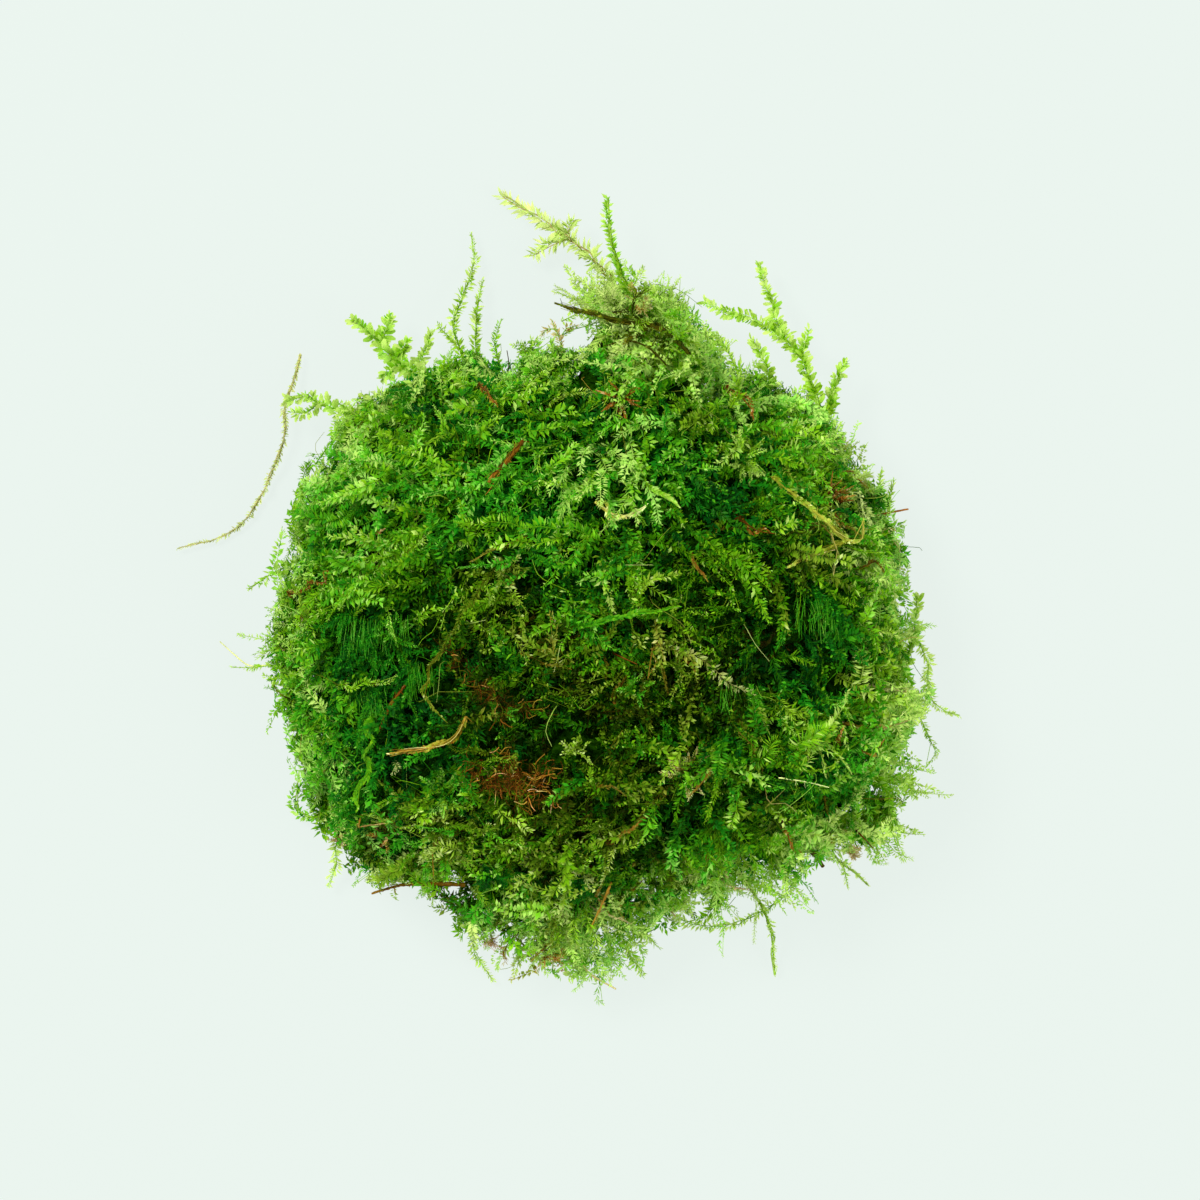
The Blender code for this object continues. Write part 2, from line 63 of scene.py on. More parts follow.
UP = (0, 0, 1)
CENTRE = np.array((0.0, 0.0, 8.0))  # inside the body
TOP = 20.0  # about how high the body's upper side lies
FAR = 80  # outside the clump, from its centre or from the table
CIRCLE = 6.28  # a full turn, near enough


def draw_from(seed):
    """Starts the random draws again, so that one section's draws don't shift the next section's."""
    rng.bit_generator.state = np.random.default_rng(seed).bit_generator.state


def vary(spread):
    """A random amount around zero."""
    return rng.normal(0, spread)


def unit(v):
    return v / np.maximum(np.linalg.norm(v, axis=-1, keepdims=True), 1e-9)


def level_way(turn):
    """The level direction at an angle from +x."""
    return np.array((math.cos(turn), math.sin(turn), 0.0))


def any_way():
    """A random level direction."""
    return level_way(rng.uniform(0, 2 * math.pi))


def outward(point):
    """The level direction from the middle to a point."""
    return unit(np.array((point[0], point[1], 0.0)))


def aside(way):
    """The level direction to the left of a way."""
    return np.array((-way[1], way[0], 0.0))


def bearing_of(point):
    """Where the point lies round the centre, in degrees from +x."""
    return math.degrees(math.atan2(point[1], point[0])) % 360


# ---------------------------------------------------------------- surfaces of the frame

class Surface:
    """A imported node's surface, in millimetres."""

    def __init__(self, node):
        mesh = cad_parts[node].data
        mesh.calc_loop_triangles()
        flat = np.empty(len(mesh.vertices) * 3)
        mesh.vertices.foreach_get("co", flat)
        self.verts = flat.reshape(-1, 3) / MM
        tris = np.empty(len(mesh.loop_triangles) * 3, dtype=np.int32)
        mesh.loop_triangles.foreach_get("vertices", tris)
        self.tris = tris.reshape(-1, 3)
        self.tree = BVHTree.FromPolygons(self.verts.tolist(), self.tris.tolist())

    def nearest(self, point):
        place, normal, _face, _distance = self.tree.find_nearest(Vector(point))
        return np.array(place), np.array(normal)

    def height(self, x, y):
        """The upper surface's height, or None beside the node."""
        hit = self.tree.ray_cast(Vector((x, y, FAR)), Vector((0, 0, -1)))[0]
        return hit.z if hit else None

    def reach(self, way):
        """How far the surface is from the centre in a direction."""
        hit = self.tree.ray_cast(Vector(CENTRE + way * FAR), Vector(-way))[0]
        return (hit - Vector(CENTRE)).length

    def scattered(self, count, keep):
        """Random pairs of a point and its normal, even over the area, where keep(points, normals) holds."""
        a, b, c = (self.verts[self.tris[:, k]] for k in range(3))
        cross = np.cross(b - a, c - a)
        area = np.linalg.norm(cross, axis=1)
        pairs = []
        while sum(len(found) for found in pairs) < count:
            pick = rng.choice(len(area), size=count, p=area / area.sum())
            r, s = np.sqrt(rng.random(count)), rng.random(count)
            weights = np.stack((1 - r, r * (1 - s), r * s), axis=1)[:, :, None]
            spots = (np.stack((a[pick], b[pick], c[pick]), axis=1) * weights).sum(axis=1)
            facing = cross[pick] / area[pick, None]
            pairs.append(np.stack((spots, facing), axis=1)[keep(spots, facing)])
        return np.concatenate(pairs)[:count]

    def spread(self, count, keep):
        """As scattered, but each point is far from the others."""
        pairs = self.scattered(count * 8, keep)
        points, chosen = pairs[:, 0], [0]
        away = np.linalg.norm(points - points[0], axis=1)
        while len(chosen) < count:
            chosen.append(int(away.argmax()))
            away = np.minimum(away, np.linalg.norm(points - points[chosen[-1]], axis=1))
        return pairs[chosen]


def under(x, y, height):
    """The place at a height that the camera sees where it sees (x, y) at the height it is focused on."""
    scale = (CAMERA_HEIGHT - height) / (CAMERA_HEIGHT - FOCUS_HEIGHT)
    return np.array((x * scale, CAMERA_Y + (y - CAMERA_Y) * scale, height))


def seen_on(surface, x, y):
    """The place on the surface that the camera sees at (x, y), or None."""
    height = TOP
    for _ in range(3):
        spot = under(x, y, height)
        height = surface.height(spot[0], spot[1])
        if height is None:
            return None
    return under(x, y, height)


# ---------------------------------------------------------------- leaves, shoots and stems

# A leaf: how far along it each corner is, how far to the side, and how far up, as shares of its size
LEAF = np.array(((0, 0, 0), (0.28, 0.48, 0.06), (0.68, 0.34, 0.03), (1, 0, -0.12),
                 (0.68, -0.34, 0.03), (0.28, -0.48, 0.06)))
LEAF_FACES = np.array(((0, 5, 1), (1, 5, 4), (1, 4, 2), (2, 4, 3)))
SMALL_LEAF = np.array(((0, 0, 0), (0.46, 0.5, 0.07), (1, 0, -0.1), (0.46, -0.5, 0.07)))
SMALL_LEAF_FACES = np.array(((0, 2, 1), (0, 3, 2)))
BLUNT_LEAF = np.array(((0, 0, 0), (0.22, 0.38, 0.05), (0.62, 0.5, 0.06), (0.94, 0.24, -0.02),
                       (0.94, -0.24, -0.02), (0.62, -0.5, 0.06), (0.22, -0.38, 0.05)))
BLUNT_LEAF_FACES = np.array(((0, 6, 1), (1, 6, 5), (1, 5, 2), (2, 5, 4), (2, 4, 3)))
SMALL = 1.15  # leaves shorter than this have the small form
TIP_PALER = 0.12  # how much paler a leaf's tip is than its root
ACROSS = 0.03  # how much the kind differs from one side of a leaf or stem to the other
STEM_SIDES = 3

# Nothing lies lower than LOWEST: what would be near it or lower is squeezed into a layer above it
LOWEST, LAYER = 0.15, 0.45


def add_object(name, data):
    obj = bpy.data.objects.new(name, data)
    bpy.context.scene.collection.objects.link(obj)
    return obj


def add_piece(name, mesh, material, slot, *nodes):
    """Adds a piece that stands in place of the nodes."""
    mesh.materials.append(material)
    obj = add_object(name, mesh)
    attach(obj, "root")
    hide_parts(*nodes)


class Growth:
    """Gathers leaves and stems, and makes one mesh of them."""

    def __init__(self):
        self.verts, self.faces, self.uvs = [], [], []
        self.size = 0

    def add(self, verts, faces, uvs):
        self.verts.append(verts)
        self.faces.append(faces + self.size)
        self.uvs.append(uvs)
        self.size += len(verts)

    def leaves(self, base, along, side, up, length, width, tone, kind, blunt):
        """One leaf per row of the arrays."""
        count = len(base)
        form, faces = (SMALL_LEAF, SMALL_LEAF_FACES) if length.mean() < SMALL else (LEAF, LEAF_FACES)
        if blunt:
            form, faces = BLUNT_LEAF, BLUNT_LEAF_FACES
        t, s, z = form.T
        verts = (base[:, None] + along[:, None] * (length[:, None] * t)[:, :, None]
                 + side[:, None] * (width[:, None] * s)[:, :, None]
                 + up[:, None] * (length[:, None] * z)[:, :, None])
        u = tone[:, None] + TIP_PALER * (t - 0.5)
        v = kind[:, None] + ACROSS * s
        faces = faces[None] + len(form) * np.arange(count)[:, None, None]
        self.add(verts.reshape(-1, 3), faces.reshape(-1, 3), np.stack((u, v), axis=2).reshape(-1, 2))

    def tube(self, path, radius, tone, kind, sides=STEM_SIDES, rough=0.0):
        """A stem along a path. radius is one number, or one per point; rough makes it lumpy, as bark is."""
        count = len(path)
        tangent = unit(np.gradient(path, axis=0))
        side = np.cross(tangent, (0.0, 0.0, 1.0))
        side = np.where(np.linalg.norm(side, axis=1, keepdims=True) < 0.05, (1.0, 0.0, 0.0), side)
        side = unit(side)
        up = np.cross(side, tangent)
        turn = 2 * np.pi * np.arange(sides) / sides
        ring = side[:, None] * np.cos(turn)[:, None] + up[:, None] * np.sin(turn)[:, None]
        lumps = 1 + rough * rng.standard_normal((count, sides, 1))
        verts = path[:, None] + ring * lumps * np.broadcast_to(radius, count)[:, None, None]
        here = np.arange(count - 1)[:, None] * sides + np.arange(sides)
        there = np.arange(count - 1)[:, None] * sides + (np.arange(sides) + 1) % sides
        lower = np.stack((here, there, there + sides), axis=2)
        upper = np.stack((here, there + sides, here + sides), axis=2)
        faces = np.concatenate((lower.reshape(-1, 3), upper.reshape(-1, 3)))
        u = np.broadcast_to(tone, count)[:, None] + rough * (lumps[:, :, 0] - 1)
        v = kind + ACROSS * (np.arange(sides) / sides - 0.5)
        uvs = np.stack(np.broadcast_arrays(u, v[None]), axis=2)
        self.add(verts.reshape(-1, 3), faces, uvs.reshape(-1, 2))

    def make(self, name, material, slot, *nodes):
        """Makes the piece, which stands in place of the nodes."""
        verts = np.concatenate(self.verts)
        level = LOWEST + LAYER
        low = verts[:, 2] < level
        verts[low, 2] = LOWEST + LAYER * np.exp((verts[low, 2] - level) / LAYER)
        faces = np.concatenate(self.faces).astype(np.int32)
        uvs = np.clip(np.concatenate(self.uvs), 0.01, 0.99)
        mesh = bpy.data.meshes.new(name)
        mesh.vertices.add(len(verts))
        mesh.vertices.foreach_set("co", (verts * MM).ravel())
        mesh.loops.add(faces.size)
        mesh.loops.foreach_set("vertex_index", faces.ravel())
        mesh.polygons.add(len(faces))
        mesh.polygons.foreach_set("loop_start", np.arange(0, faces.size, 3, dtype=np.int32))
        mesh.polygons.foreach_set("use_smooth", np.ones(len(faces), dtype=bool))
        layer = mesh.uv_layers.new(name=UV_MAP)
        layer.data.foreach_set("uv", uvs[faces.ravel()].ravel())
        mesh.update(calc_edges=True)
        add_piece(name, mesh, material, slot, *nodes)


def resample(points, step):
    """A smooth curve through the points, at even steps. Returns the points and their lengths along."""
    points = np.asarray(points, dtype=float)
    if len(points) == 2:
        points = np.stack((points[0], points.mean(axis=0), points[1]))
    ends = np.concatenate(([2 * points[0] - points[1]], points, [2 * points[-1] - points[-2]]))
    fine = []
    for a, b, c, d in zip(ends, ends[1:], ends[2:], ends[3:]):
        t = np.linspace(0, 1, 12, endpoint=False)[:, None]
        fine.append(0.5 * (2 * b + (c - a) * t + (2 * a - 5 * b + 4 * c - d) * t**2
                           + (3 * b - a - 3 * c + d) * t**3))
    fine = np.concatenate((*fine, points[-1:]))
    run = np.concatenate(([0], np.cumsum(np.linalg.norm(np.diff(fine, axis=0), axis=1))))
    count = max(3, int(round(run[-1] / step)) + 1)
    at = np.linspace(0, run[-1], count)
    return np.stack([np.interp(at, run, fine[:, k]) for k in range(3)], axis=1), at


# How much a shoot's leaves differ: in tone, in kind, and, times how ragged it is, in the angle in degrees,
# the rise, the tilt and the size
TONE_SPREAD, KIND_SPREAD = 0.06, 0.04
ANGLE_SPREAD, RISE_SPREAD, TILT_SPREAD, SIZE_SPREAD = 9, 0.13, 0.22, 0.12
WIDTH_SPREAD = 0.1
MISSING = 0.05  # the share of leaves that a shoot has lost, times how ragged it is
TIP_CLOSES = 22  # degrees by which the last leaves open less
# A glint is a painted highlight: a few leaves are painted paler where they would catch the light.
GLINT = 0.24  # how much paler a leaf is that catches the light
STEM_STEP = 1.7  # between the rings of corners along a stem
STEM_TIP, HAIR_TIP = 0.45, 0.55  # the tip's radius, as a share of the root's


def shoot(growth, points, up, leaf=(1.1, 0.45), gap=0.42, angle=58.0, tone=0.5, kind=LIME, root_tone=-0.16,
          tip_tone=0.12, roll=0.0, bare=0.0, stem=0.07, stem_tone=None, stem_kind=None, lift=0.12, slim=0.5,
          ragged=1.0, hand=0.0, wave=0.12, glints=0.07, blunt=False):
    """A leafy shoot: a stem with a leaf to either side in turn.

    points run from the root to the tip and up is the way its upper side faces. leaf is the length and width
    of a leaf, gap the way from a leaf to the next on its side, angle how far leaves open, in degrees, and
    lift how far they rise. root_tone and tip_tone change the tone at either end, roll turns the shoot about
    its stem, bare is the share of the stem without leaves, slim how small the last leaves are, and ragged
    how untidy they are. hand thins the leaves on the left (1) or on the right (-1), wave is how far the
    stem wavers, glints the share of leaves painted paler as highlights, and blunt gives them round tips.
    """
    path, at = resample(points, gap / 2)
    waver = rng.standard_normal((3, 3)) * wave
    for k, swing in enumerate(waver):
        path = path + np.sin(at * (1.0 + 0.8 * k) + CIRCLE * rng.random())[:, None] * swing
    tangent = unit(np.gradient(path, axis=0))
    up = np.broadcast_to(np.asarray(up, dtype=float), path.shape)
    side = unit(np.cross(up, tangent))
    face = np.cross(tangent, side)
    turn = roll + 0.4 * np.sin(at * 0.7 + rng.random() * CIRCLE)
    side, face = (side * np.cos(turn)[:, None] + face * np.sin(turn)[:, None],
                  face * np.cos(turn)[:, None] - side * np.sin(turn)[:, None])
    share = at / at[-1]
    left = np.where(np.arange(len(at)) % 2 == 0, 1.0, -1.0)
    thinned = abs(hand) * (left == np.sign(hand))
    on = (share >= bare) & (rng.random(len(at)) > MISSING * ragged + 0.5 * thinned)
    base, tangent, side, face = path[on], tangent[on], side[on], face[on]
    share, left, thinned = share[on], left[on], thinned[on]
    n = len(base)
    taper = np.minimum(1, slim + (1 - slim) * (1 - share) / 0.3) * np.minimum(1, 0.6 + share / 0.15)
    taper = taper * (1 - 0.25 * thinned)
    open_angle = np.radians(angle + ANGLE_SPREAD * ragged * rng.standard_normal(n)
                            - TIP_CLOSES * np.clip((share - 0.8) / 0.2, 0, 1))
    rise = (lift + RISE_SPREAD * ragged * rng.standard_normal(n))[:, None]
    along = unit(tangent * np.cos(open_angle)[:, None] + side * (left * np.sin(open_angle))[:, None]
                 + face * rise)
    tilt = (TILT_SPREAD * ragged * rng.standard_normal(n))[:, None]
    across = unit(np.cross(face, along) + face * tilt)
    over = unit(np.cross(along, across))
    size = taper * (1 + SIZE_SPREAD * min(ragged, 1.6) * rng.standard_normal(n))
    shade = (tone + root_tone * np.clip(1 - share / 0.5, 0, 1)
             + tip_tone * np.clip((share - 0.5) / 0.5, 0, 1)
             + TONE_SPREAD * rng.standard_normal(n) + GLINT * (rng.random(n) < glints))
    width = leaf[1] * size * (1 + WIDTH_SPREAD * rng.standard_normal(n))
    kinds = kind + KIND_SPREAD * rng.standard_normal(n)
    growth.leaves(base, along, across, over, leaf[0] * size, width, shade, kinds, blunt)
    few = path[:: max(1, int(STEM_STEP / gap * 2))]
    few = np.concatenate((few[:-1], path[-1:])) if len(few) > 2 else path[[0, len(path) // 2, -1]]
    stem_tone = tone if stem_tone is None else stem_tone
    growth.tube(few, stem * np.linspace(1, STEM_TIP, len(few)),
                stem_tone + np.linspace(root_tone, tip_tone, len(few)),
                kind + 0.08 if stem_kind is None else stem_kind)


# Ways a shoot can look
STYLES = {
    "frond": dict(leaf=(0.72, 0.27), gap=0.2, angle=56, ragged=2, glints=0.09),
    "mossy": dict(leaf=(0.46, 0.26), gap=0.2, angle=60, ragged=2.6, wave=0.22, glints=0.2),
    "broad": dict(leaf=(0.82, 0.33), gap=0.28, angle=58, ragged=2),
    "comb": dict(leaf=(0.86, 0.2), gap=0.2, angle=70),
    "half_comb": dict(leaf=(0.86, 0.2), gap=0.2, angle=70, hand=1),
    "combs": dict(leaf=(0.78, 0.34), gap=0.27, angle=76, ragged=1.2, slim=0.8),
    "stripe": dict(leaf=(1.1, 0.15), gap=0.17, angle=60, ragged=0.5),
    "bristle": dict(leaf=(0.7, 0.14), gap=0.17, angle=62, ragged=1.3),
    "fine": dict(leaf=(0.46, 0.15), gap=0.17, angle=50),
    "plume": dict(leaf=(0.85, 0.15), gap=0.2, angle=44, ragged=1.8),
    "wild": dict(leaf=(0.56, 0.18), gap=0.22, angle=60, ragged=3, wave=0.25),
    "strap": dict(leaf=(0.55, 0.26), gap=0.17, angle=26, ragged=0.7, stem=0.12),
    "wisp": dict(leaf=(0.45, 0.13), gap=0.28, angle=42, stem=0.05),
    "scaly": dict(leaf=(0.4, 0.18), gap=0.2, angle=24, stem=0.12),
    "sprig": dict(leaf=(0.68, 0.27), gap=0.21, angle=58, ragged=2, stem=0.08),
    "feather": dict(leaf=(0.95, 0.36), gap=0.19, angle=60, ragged=2.1, stem=0.12, slim=0.75, blunt=True),
    "spire": dict(leaf=(0.78, 0.26), gap=0.21, angle=54, ragged=2.2, stem=0.1),
    "thread": dict(leaf=(0.56, 0.19), gap=0.19, angle=48, ragged=2.2, stem=0.08),
}


def hair(growth, points, radius, tone, kind, rough=0.0, sides=STEM_SIDES, step=0.8):
    """A bare stem or hair, thinner towards its tip."""
    path, _ = resample(points, step)
    growth.tube(path, radius * np.linspace(1, HAIR_TIP, len(path)),
                tone + np.linspace(-0.04, 0.08, len(path)), kind, sides, rough)


def laid(surface, points, above, step=1.2):
    """A path over the surface for a line seen from above, root first. Its root is sunk in."""
    plan, _ = resample([(x, y, 0) for x, y in points], step)
    spots, last = [], 4.0
    for x, y, _ in plan:
        spot = seen_on(surface, x, y)
        spots.append(under(x, y, last) if spot is None else spot)
        last = spots[-1][2] - (0.4 * step if spot is None else 0)
    spots = np.array(spots)
    level = np.convolve(np.pad(spots[:, 2], 2, mode="edge"), np.ones(5) / 5, mode="valid")
    spots[:, 2] = np.maximum(level, spots[:, 2] - 0.5) + above
    spots[0, 2] -= above + 0.8
    return spots


# ---------------------------------------------------------------- the cushion

# Which way the shoots' tips point, seen from above: a place and a bearing
COMB = np.array((
    (-20, 15, 195), (-12, 20, 190), (-24, -2, 268), (-27, 8, 165), (-5, 27, 45), (8, 22, 250),
    (10, 14, -30), (23, 13, -50), (28, 0, -40), (22, -12, 45), (5, -15, 240), (-5, -28, -70),
    (12, -26, -80), (-15, -15, 200), (-25, -14, 255), (0, 5, 225), (9, 3, 190), (-18, 28, 120),
    (20, 26, 55),
), dtype=float)

# What the moss is like: a place, a tone, a kind, and how wild its shoots lie, from 0 to 1.
# The tone holds painted light too: it is highest at the edge, as a painted glow of moss lit from below.
TINTS = np.array((
    (-18, 13, 0.63, 0.16, 0.2), (-27, 4, 0.56, 0.26, 0.4), (-21, -5, 0.3, 0.18, 0.7),
    (-4, -3, 0.29, 0.58, 1), (-6, -13, 0.37, 0.56, 1), (2, 11, 0.51, 0.25, 0.7), (-3, 22, 0.64, 0.14, 0.3),
    (13, 18, 0.42, 0.21, 0.5), (24, 20, 0.64, 0.36, 0.6), (20, 3, 0.21, 0.26, 0.8),
    (22, 11, 0.52, 0.44, 0.8), (20, -12, 0.59, 0.29, 0.4), (31, -5, 1.08, 0.2, 0.5),
    (-3, -29, 1.04, 0.23, 0.7), (11, -21, 0.65, 0.29, 0.7), (-17, -18, 0.48, 0.44, 0.95),
    (5, 31, 0.98, 0.35, 0.7), (4, 35, 1.1, 0.42, 0.8), (-29, -12, 0.67, 0.27, 0.5),
    (29, 10, 0.86, 0.24, 0.6), (6, -10, 0.41, 0.5, 1), (-12, 3, 0.2, 0.42, 0.9), (-13, 26, 0.63, 0.17, 0.3),
    (-24, 20, 0.67, 0.26, 0.3), (-20, -11, 0.29, 0.28, 0.8), (10, -2, 0.3, 0.5, 1),
    (14, 8, 0.37, 0.34, 0.8), (0, -20, 0.46, 0.46, 0.9), (-7, 16, 0.54, 0.1, 0.4), (16, 24, 0.56, 0.2, 0.5),
    (-12, -22, 0.68, 0.42, 0.8), (26, -14, 0.64, 0.26, 0.5), (5, 25, 0.55, 0.15, 0.5),
), dtype=float)

# Dark hollows where no shoot lies on top: a place and a radius
HOLLOWS = np.array((
    (-24.3, 11.2, 1.3), (-21.2, 14.4, 1.3), (-27.1, -0.4, 1.1), (-27.1, -2.2, 1), (-3.9, 22.5, 0.7),
    (1.3, 17.3, 0.8), (-7.3, 7.7, 1.2), (4.6, 11.1, 1.3), (6.8, 10.9, 1.2), (16.8, 18.4, 0.6),
    (14.2, 16.2, 1.3), (-4.8, -4.7, 1.1), (-8.8, 6, 1.1), (-0.6, -9.7, 1.4), (-16.4, -12.4, 1.3),
    (-19.6, -13.2, 1.2), (11, 2.7, 0.8), (17.1, -3.8, 1.9), (20.9, -3.2, 1), (23.8, -4.6, 0.8),
    (19.3, 4.5, 0.6), (12.4, -18.2, 0.9), (19.1, -16, 0.8), (5, -12.8, 0.9), (-13.3, -2.5, 1),
    (9.5, -17, 0.8), (-12.4, -25.4, 1.2), (-1.9, -25.4, 1.1), (-0.1, -28.8, 1), (4, -25.6, 1.2),
    (1.2, -21.6, 1.1),
), dtype=float)


def comb(point):
    """The bearing of the shoots at a point, in radians."""
    pull = 1 / ((point[0] - COMB[:, 0]) ** 2 + (point[1] - COMB[:, 1]) ** 2 + 4)
    turn = np.radians(COMB[:, 2])
    return math.atan2((pull * np.sin(turn)).sum(), (pull * np.cos(turn)).sum())


def tint(point):
    """The tone, kind and wildness at a point."""
    pull = 1 / ((point[0] - TINTS[:, 0]) ** 2 + (point[1] - TINTS[:, 1]) ** 2 + 3) ** 1.5
    return pull @ TINTS[:, 2:] / pull.sum()


# Windows on deep green moss, which lies lower: a place and the half sizes
POOLS = np.array((
    (-23.8, 1, 2.4, 3.2), (-23.4, -5.6, 2.2, 2.4), (21.5, 3, 2.2, 3), (-18, -3.5, 1.6, 2.6),
    (14, -4.5, 2.2, 1.8), (24.3, -14.5, 1.4, 1.2), (-20.4, 2.4, 1.4, 1.6), (-12.2, -25, 1.9, 1.1),
    (-1.8, -25.6, 1.3, 1.4), (3.6, -25.6, 1.5, 0.9), (-0.1, -28.8, 0.9, 0.9),
))


def in_pool(point):
    off = ((point[0] - POOLS[:, 0]) / POOLS[:, 2]) ** 2 + ((point[1] - POOLS[:, 1]) / POOLS[:, 3]) ** 2
    return off.min() < 1


def hollow(point):
    """How far inside a hollow a point is: 1 in its middle, 0 from its edge on."""
    off = np.hypot(point[0] - HOLLOWS[:, 0], point[1] - HOLLOWS[:, 1]) / HOLLOWS[:, 2]
    return max(0.0, 1 - off.min())


# Holes in the lacy edge, through which the table shows: a place and the half sizes
HOLES = np.array((
    (-1.1, 27.2, 0.7, 0.5), (-23, 21.5, 0.2, 0.2), (-9.2, -29.7, 1.8, 1.4), (-4.4, -31.7, 0.6, 0.5),
    (3.1, -30, 0.7, 0.6), (-14.8, -23.8, 0.7, 0.5), (16.4, -21.5, 0.6, 1), (10.1, -25.4, 0.6, 0.8),
    (14.7, -25.5, 1.4, 0.9), (31.9, -1.8, 1, 2.6), (31.9, -9.1, 1.1, 2), (29.4, -13, 0.6, 1.2),
    (-2, 31.8, 2, 1.4), (-22.4, 27, 1.6, 1.1), (-10.8, 29.8, 1.3, 1),
))
HOLE_MARGIN = 0.3


def in_hole(point):
    """Whether the camera sees the point in a hole of the edge, or too near one for a leaf."""
    scale = (CAMERA_HEIGHT - FOCUS_HEIGHT) / (CAMERA_HEIGHT - point[2])
    x, y = point[0] * scale, CAMERA_Y + (point[1] - CAMERA_Y) * scale
    off_x = (x - HOLES[:, 0]) / (HOLES[:, 2] + HOLE_MARGIN)
    off_y = (y - HOLES[:, 1]) / (HOLES[:, 3] + HOLE_MARGIN)
    return (off_x**2 + off_y**2).min() < 1


# Where the edge is lace: a bearing, how see-through it is there, and the degrees over which that falls by 1
LACE = ((282, 1.15, 48), (82, 1, 24), (340, 0.6, 80))
LEAST_LACE = 0.25


def lace(point):
    """How see-through the moss's edge is on this side: most in the south and the north tuft."""
    bearing = bearing_of(point)
    return max(LEAST_LACE, *(most - abs((bearing - middle + 180) % 360 - 180) / fade
                             for middle, most, fade in LACE))


# How much further out the shoots end than the body does, or less far: a bearing and the way
EDGE = np.array((
    (0, -1.4), (20, -1.3), (31, -1), (36, 0.2), (43, 1.3), (55, -0.2), (62, 0.8), (67, 2.2), (74, -0.6),
    (88, 0.9), (98, 0.9), (106, -1.2), (111, -1.6), (118, 0), (132, 0.3), (145, -1.2), (156, -1),
    (168, 0.5), (182, 0.8), (190, -0.7), (212, -0.9), (220, -2), (228, -0.4), (240, -1.2), (249, 1.2),
    (256, 1.9), (266, 0.6), (278, 1.1), (285, 0.1), (291, 1.2), (296, 3.6), (301, 2.4), (306, 4),
    (312, 1.2), (325, 0.3), (339, 0.8), (350, -1.3), (360, -1.4),
))
EDGE_WIDTH = 5.5  # of the band that counts as near the edge


class Rim:
    """The cushion's edge, seen from above."""

    def __init__(self, surface):
        self.bearings = np.radians(np.arange(0, 361, 5))
        self.reach = np.array([surface.reach(level_way(bearing)) for bearing in self.bearings])

    def share(self, point):
        """How near the edge: 0 well inside, 1 at the edge."""
        bearing = math.atan2(point[1], point[0]) % (2 * math.pi)
        edge = np.interp(bearing, self.bearings, self.reach)
        return float(np.clip((math.hypot(point[0], point[1]) - edge + EDGE_WIDTH) / EDGE_WIDTH, 0, 1))

    def shift(self, point):
        """How much further out than the body the shoots end here."""
        return float(np.interp(bearing_of(point), EDGE[:, 0], EDGE[:, 1]))


def felted(surface, growth, root, normal, heading, length, sink, rise, bow=0.0, **looks):
    """A shoot that starts under the surface and lies along it. rise is how high its tip ends."""
    heading = unit(heading - normal * heading.dot(normal))
    bend = np.cross(normal, heading) * bow * length
    middle, middle_normal = surface.nearest(root + heading * length * 0.5 + bend)
    end, end_normal = surface.nearest(root + heading * length)
    start = root - normal * sink
    middle = middle + middle_normal * (0.2 + 0.5 * rise)
    end = end + end_normal * rise
    level = 0.8 + 3.0 * (1 - max(0.0, normal[2])) ** 2  # the edge's shoots lie flatter
    up = unit(normal + middle_normal + end_normal + np.array((0, 0, level)))
    if not any(in_hole(spot) for spot in (start, (start + middle) / 2, middle, (middle + end) / 2, end)):
        shoot(growth, (start, middle, end), up, **looks)


def scaled(style, size):
    """A style's looks with its leaves made larger or smaller."""
    looks = dict(STYLES[style])
    looks["leaf"] = (looks["leaf"][0] * size, looks["leaf"][1] * size * rng.uniform(0.9, 1.1))
    looks["gap"] = looks["gap"] * size
    return looks


# The felt is the shoots between the locks, painted darker as shade, and a lock is a combed bundle.
# Ranges are least to most.
FELT_COUNT, FELT_LENGTHS, FELT_DEPTH, FELT_RISES = 1400, (6, 10), 2.5, (-2.8, -0.8)
LOCK_COUNT, SHOOTS_PER_LOCK, LOCK_WIDTH = 280, (10, 16), 1.9
LOCK_LENGTHS, LOCK_SINKS, LOCK_RISES, LEADER_RISES = (4.5, 10.5), (1.5, 3.5), (-0.8, 1.1), (1.0, 1.8)
POOL_SHOOTS, POOL_STRANDS = 9, 10  # times a window's two half sizes
UNDER_COUNT, UNDER_LENGTHS = 420, (6, 10)
INNER_MIX = (("frond", 0.46), ("fine", 0.18), ("broad", 0.12), ("plume", 0.12), ("comb", 0.12))
WILD_MIX = (("mossy", 0.55), ("wild", 0.2), ("fine", 0.13), ("plume", 0.06), ("scaly", 0.06))
RIM_MIX = (("frond", 0.4), ("fine", 0.15), ("bristle", 0.15), ("plume", 0.3))
FELT_WILD_MIX = (("mossy", 0.6), ("wild", 0.25), ("fine", 0.15))
SPRIG_MIX = (("sprig", 0.34), ("mossy", 0.22), ("plume", 0.12), ("bristle", 0.14), ("thread", 0.18))


def pick_style(mix):
    """Draws a style from pairs of a name and a share."""
    names, shares = zip(*mix)
    return str(rng.choice(names, p=shares))


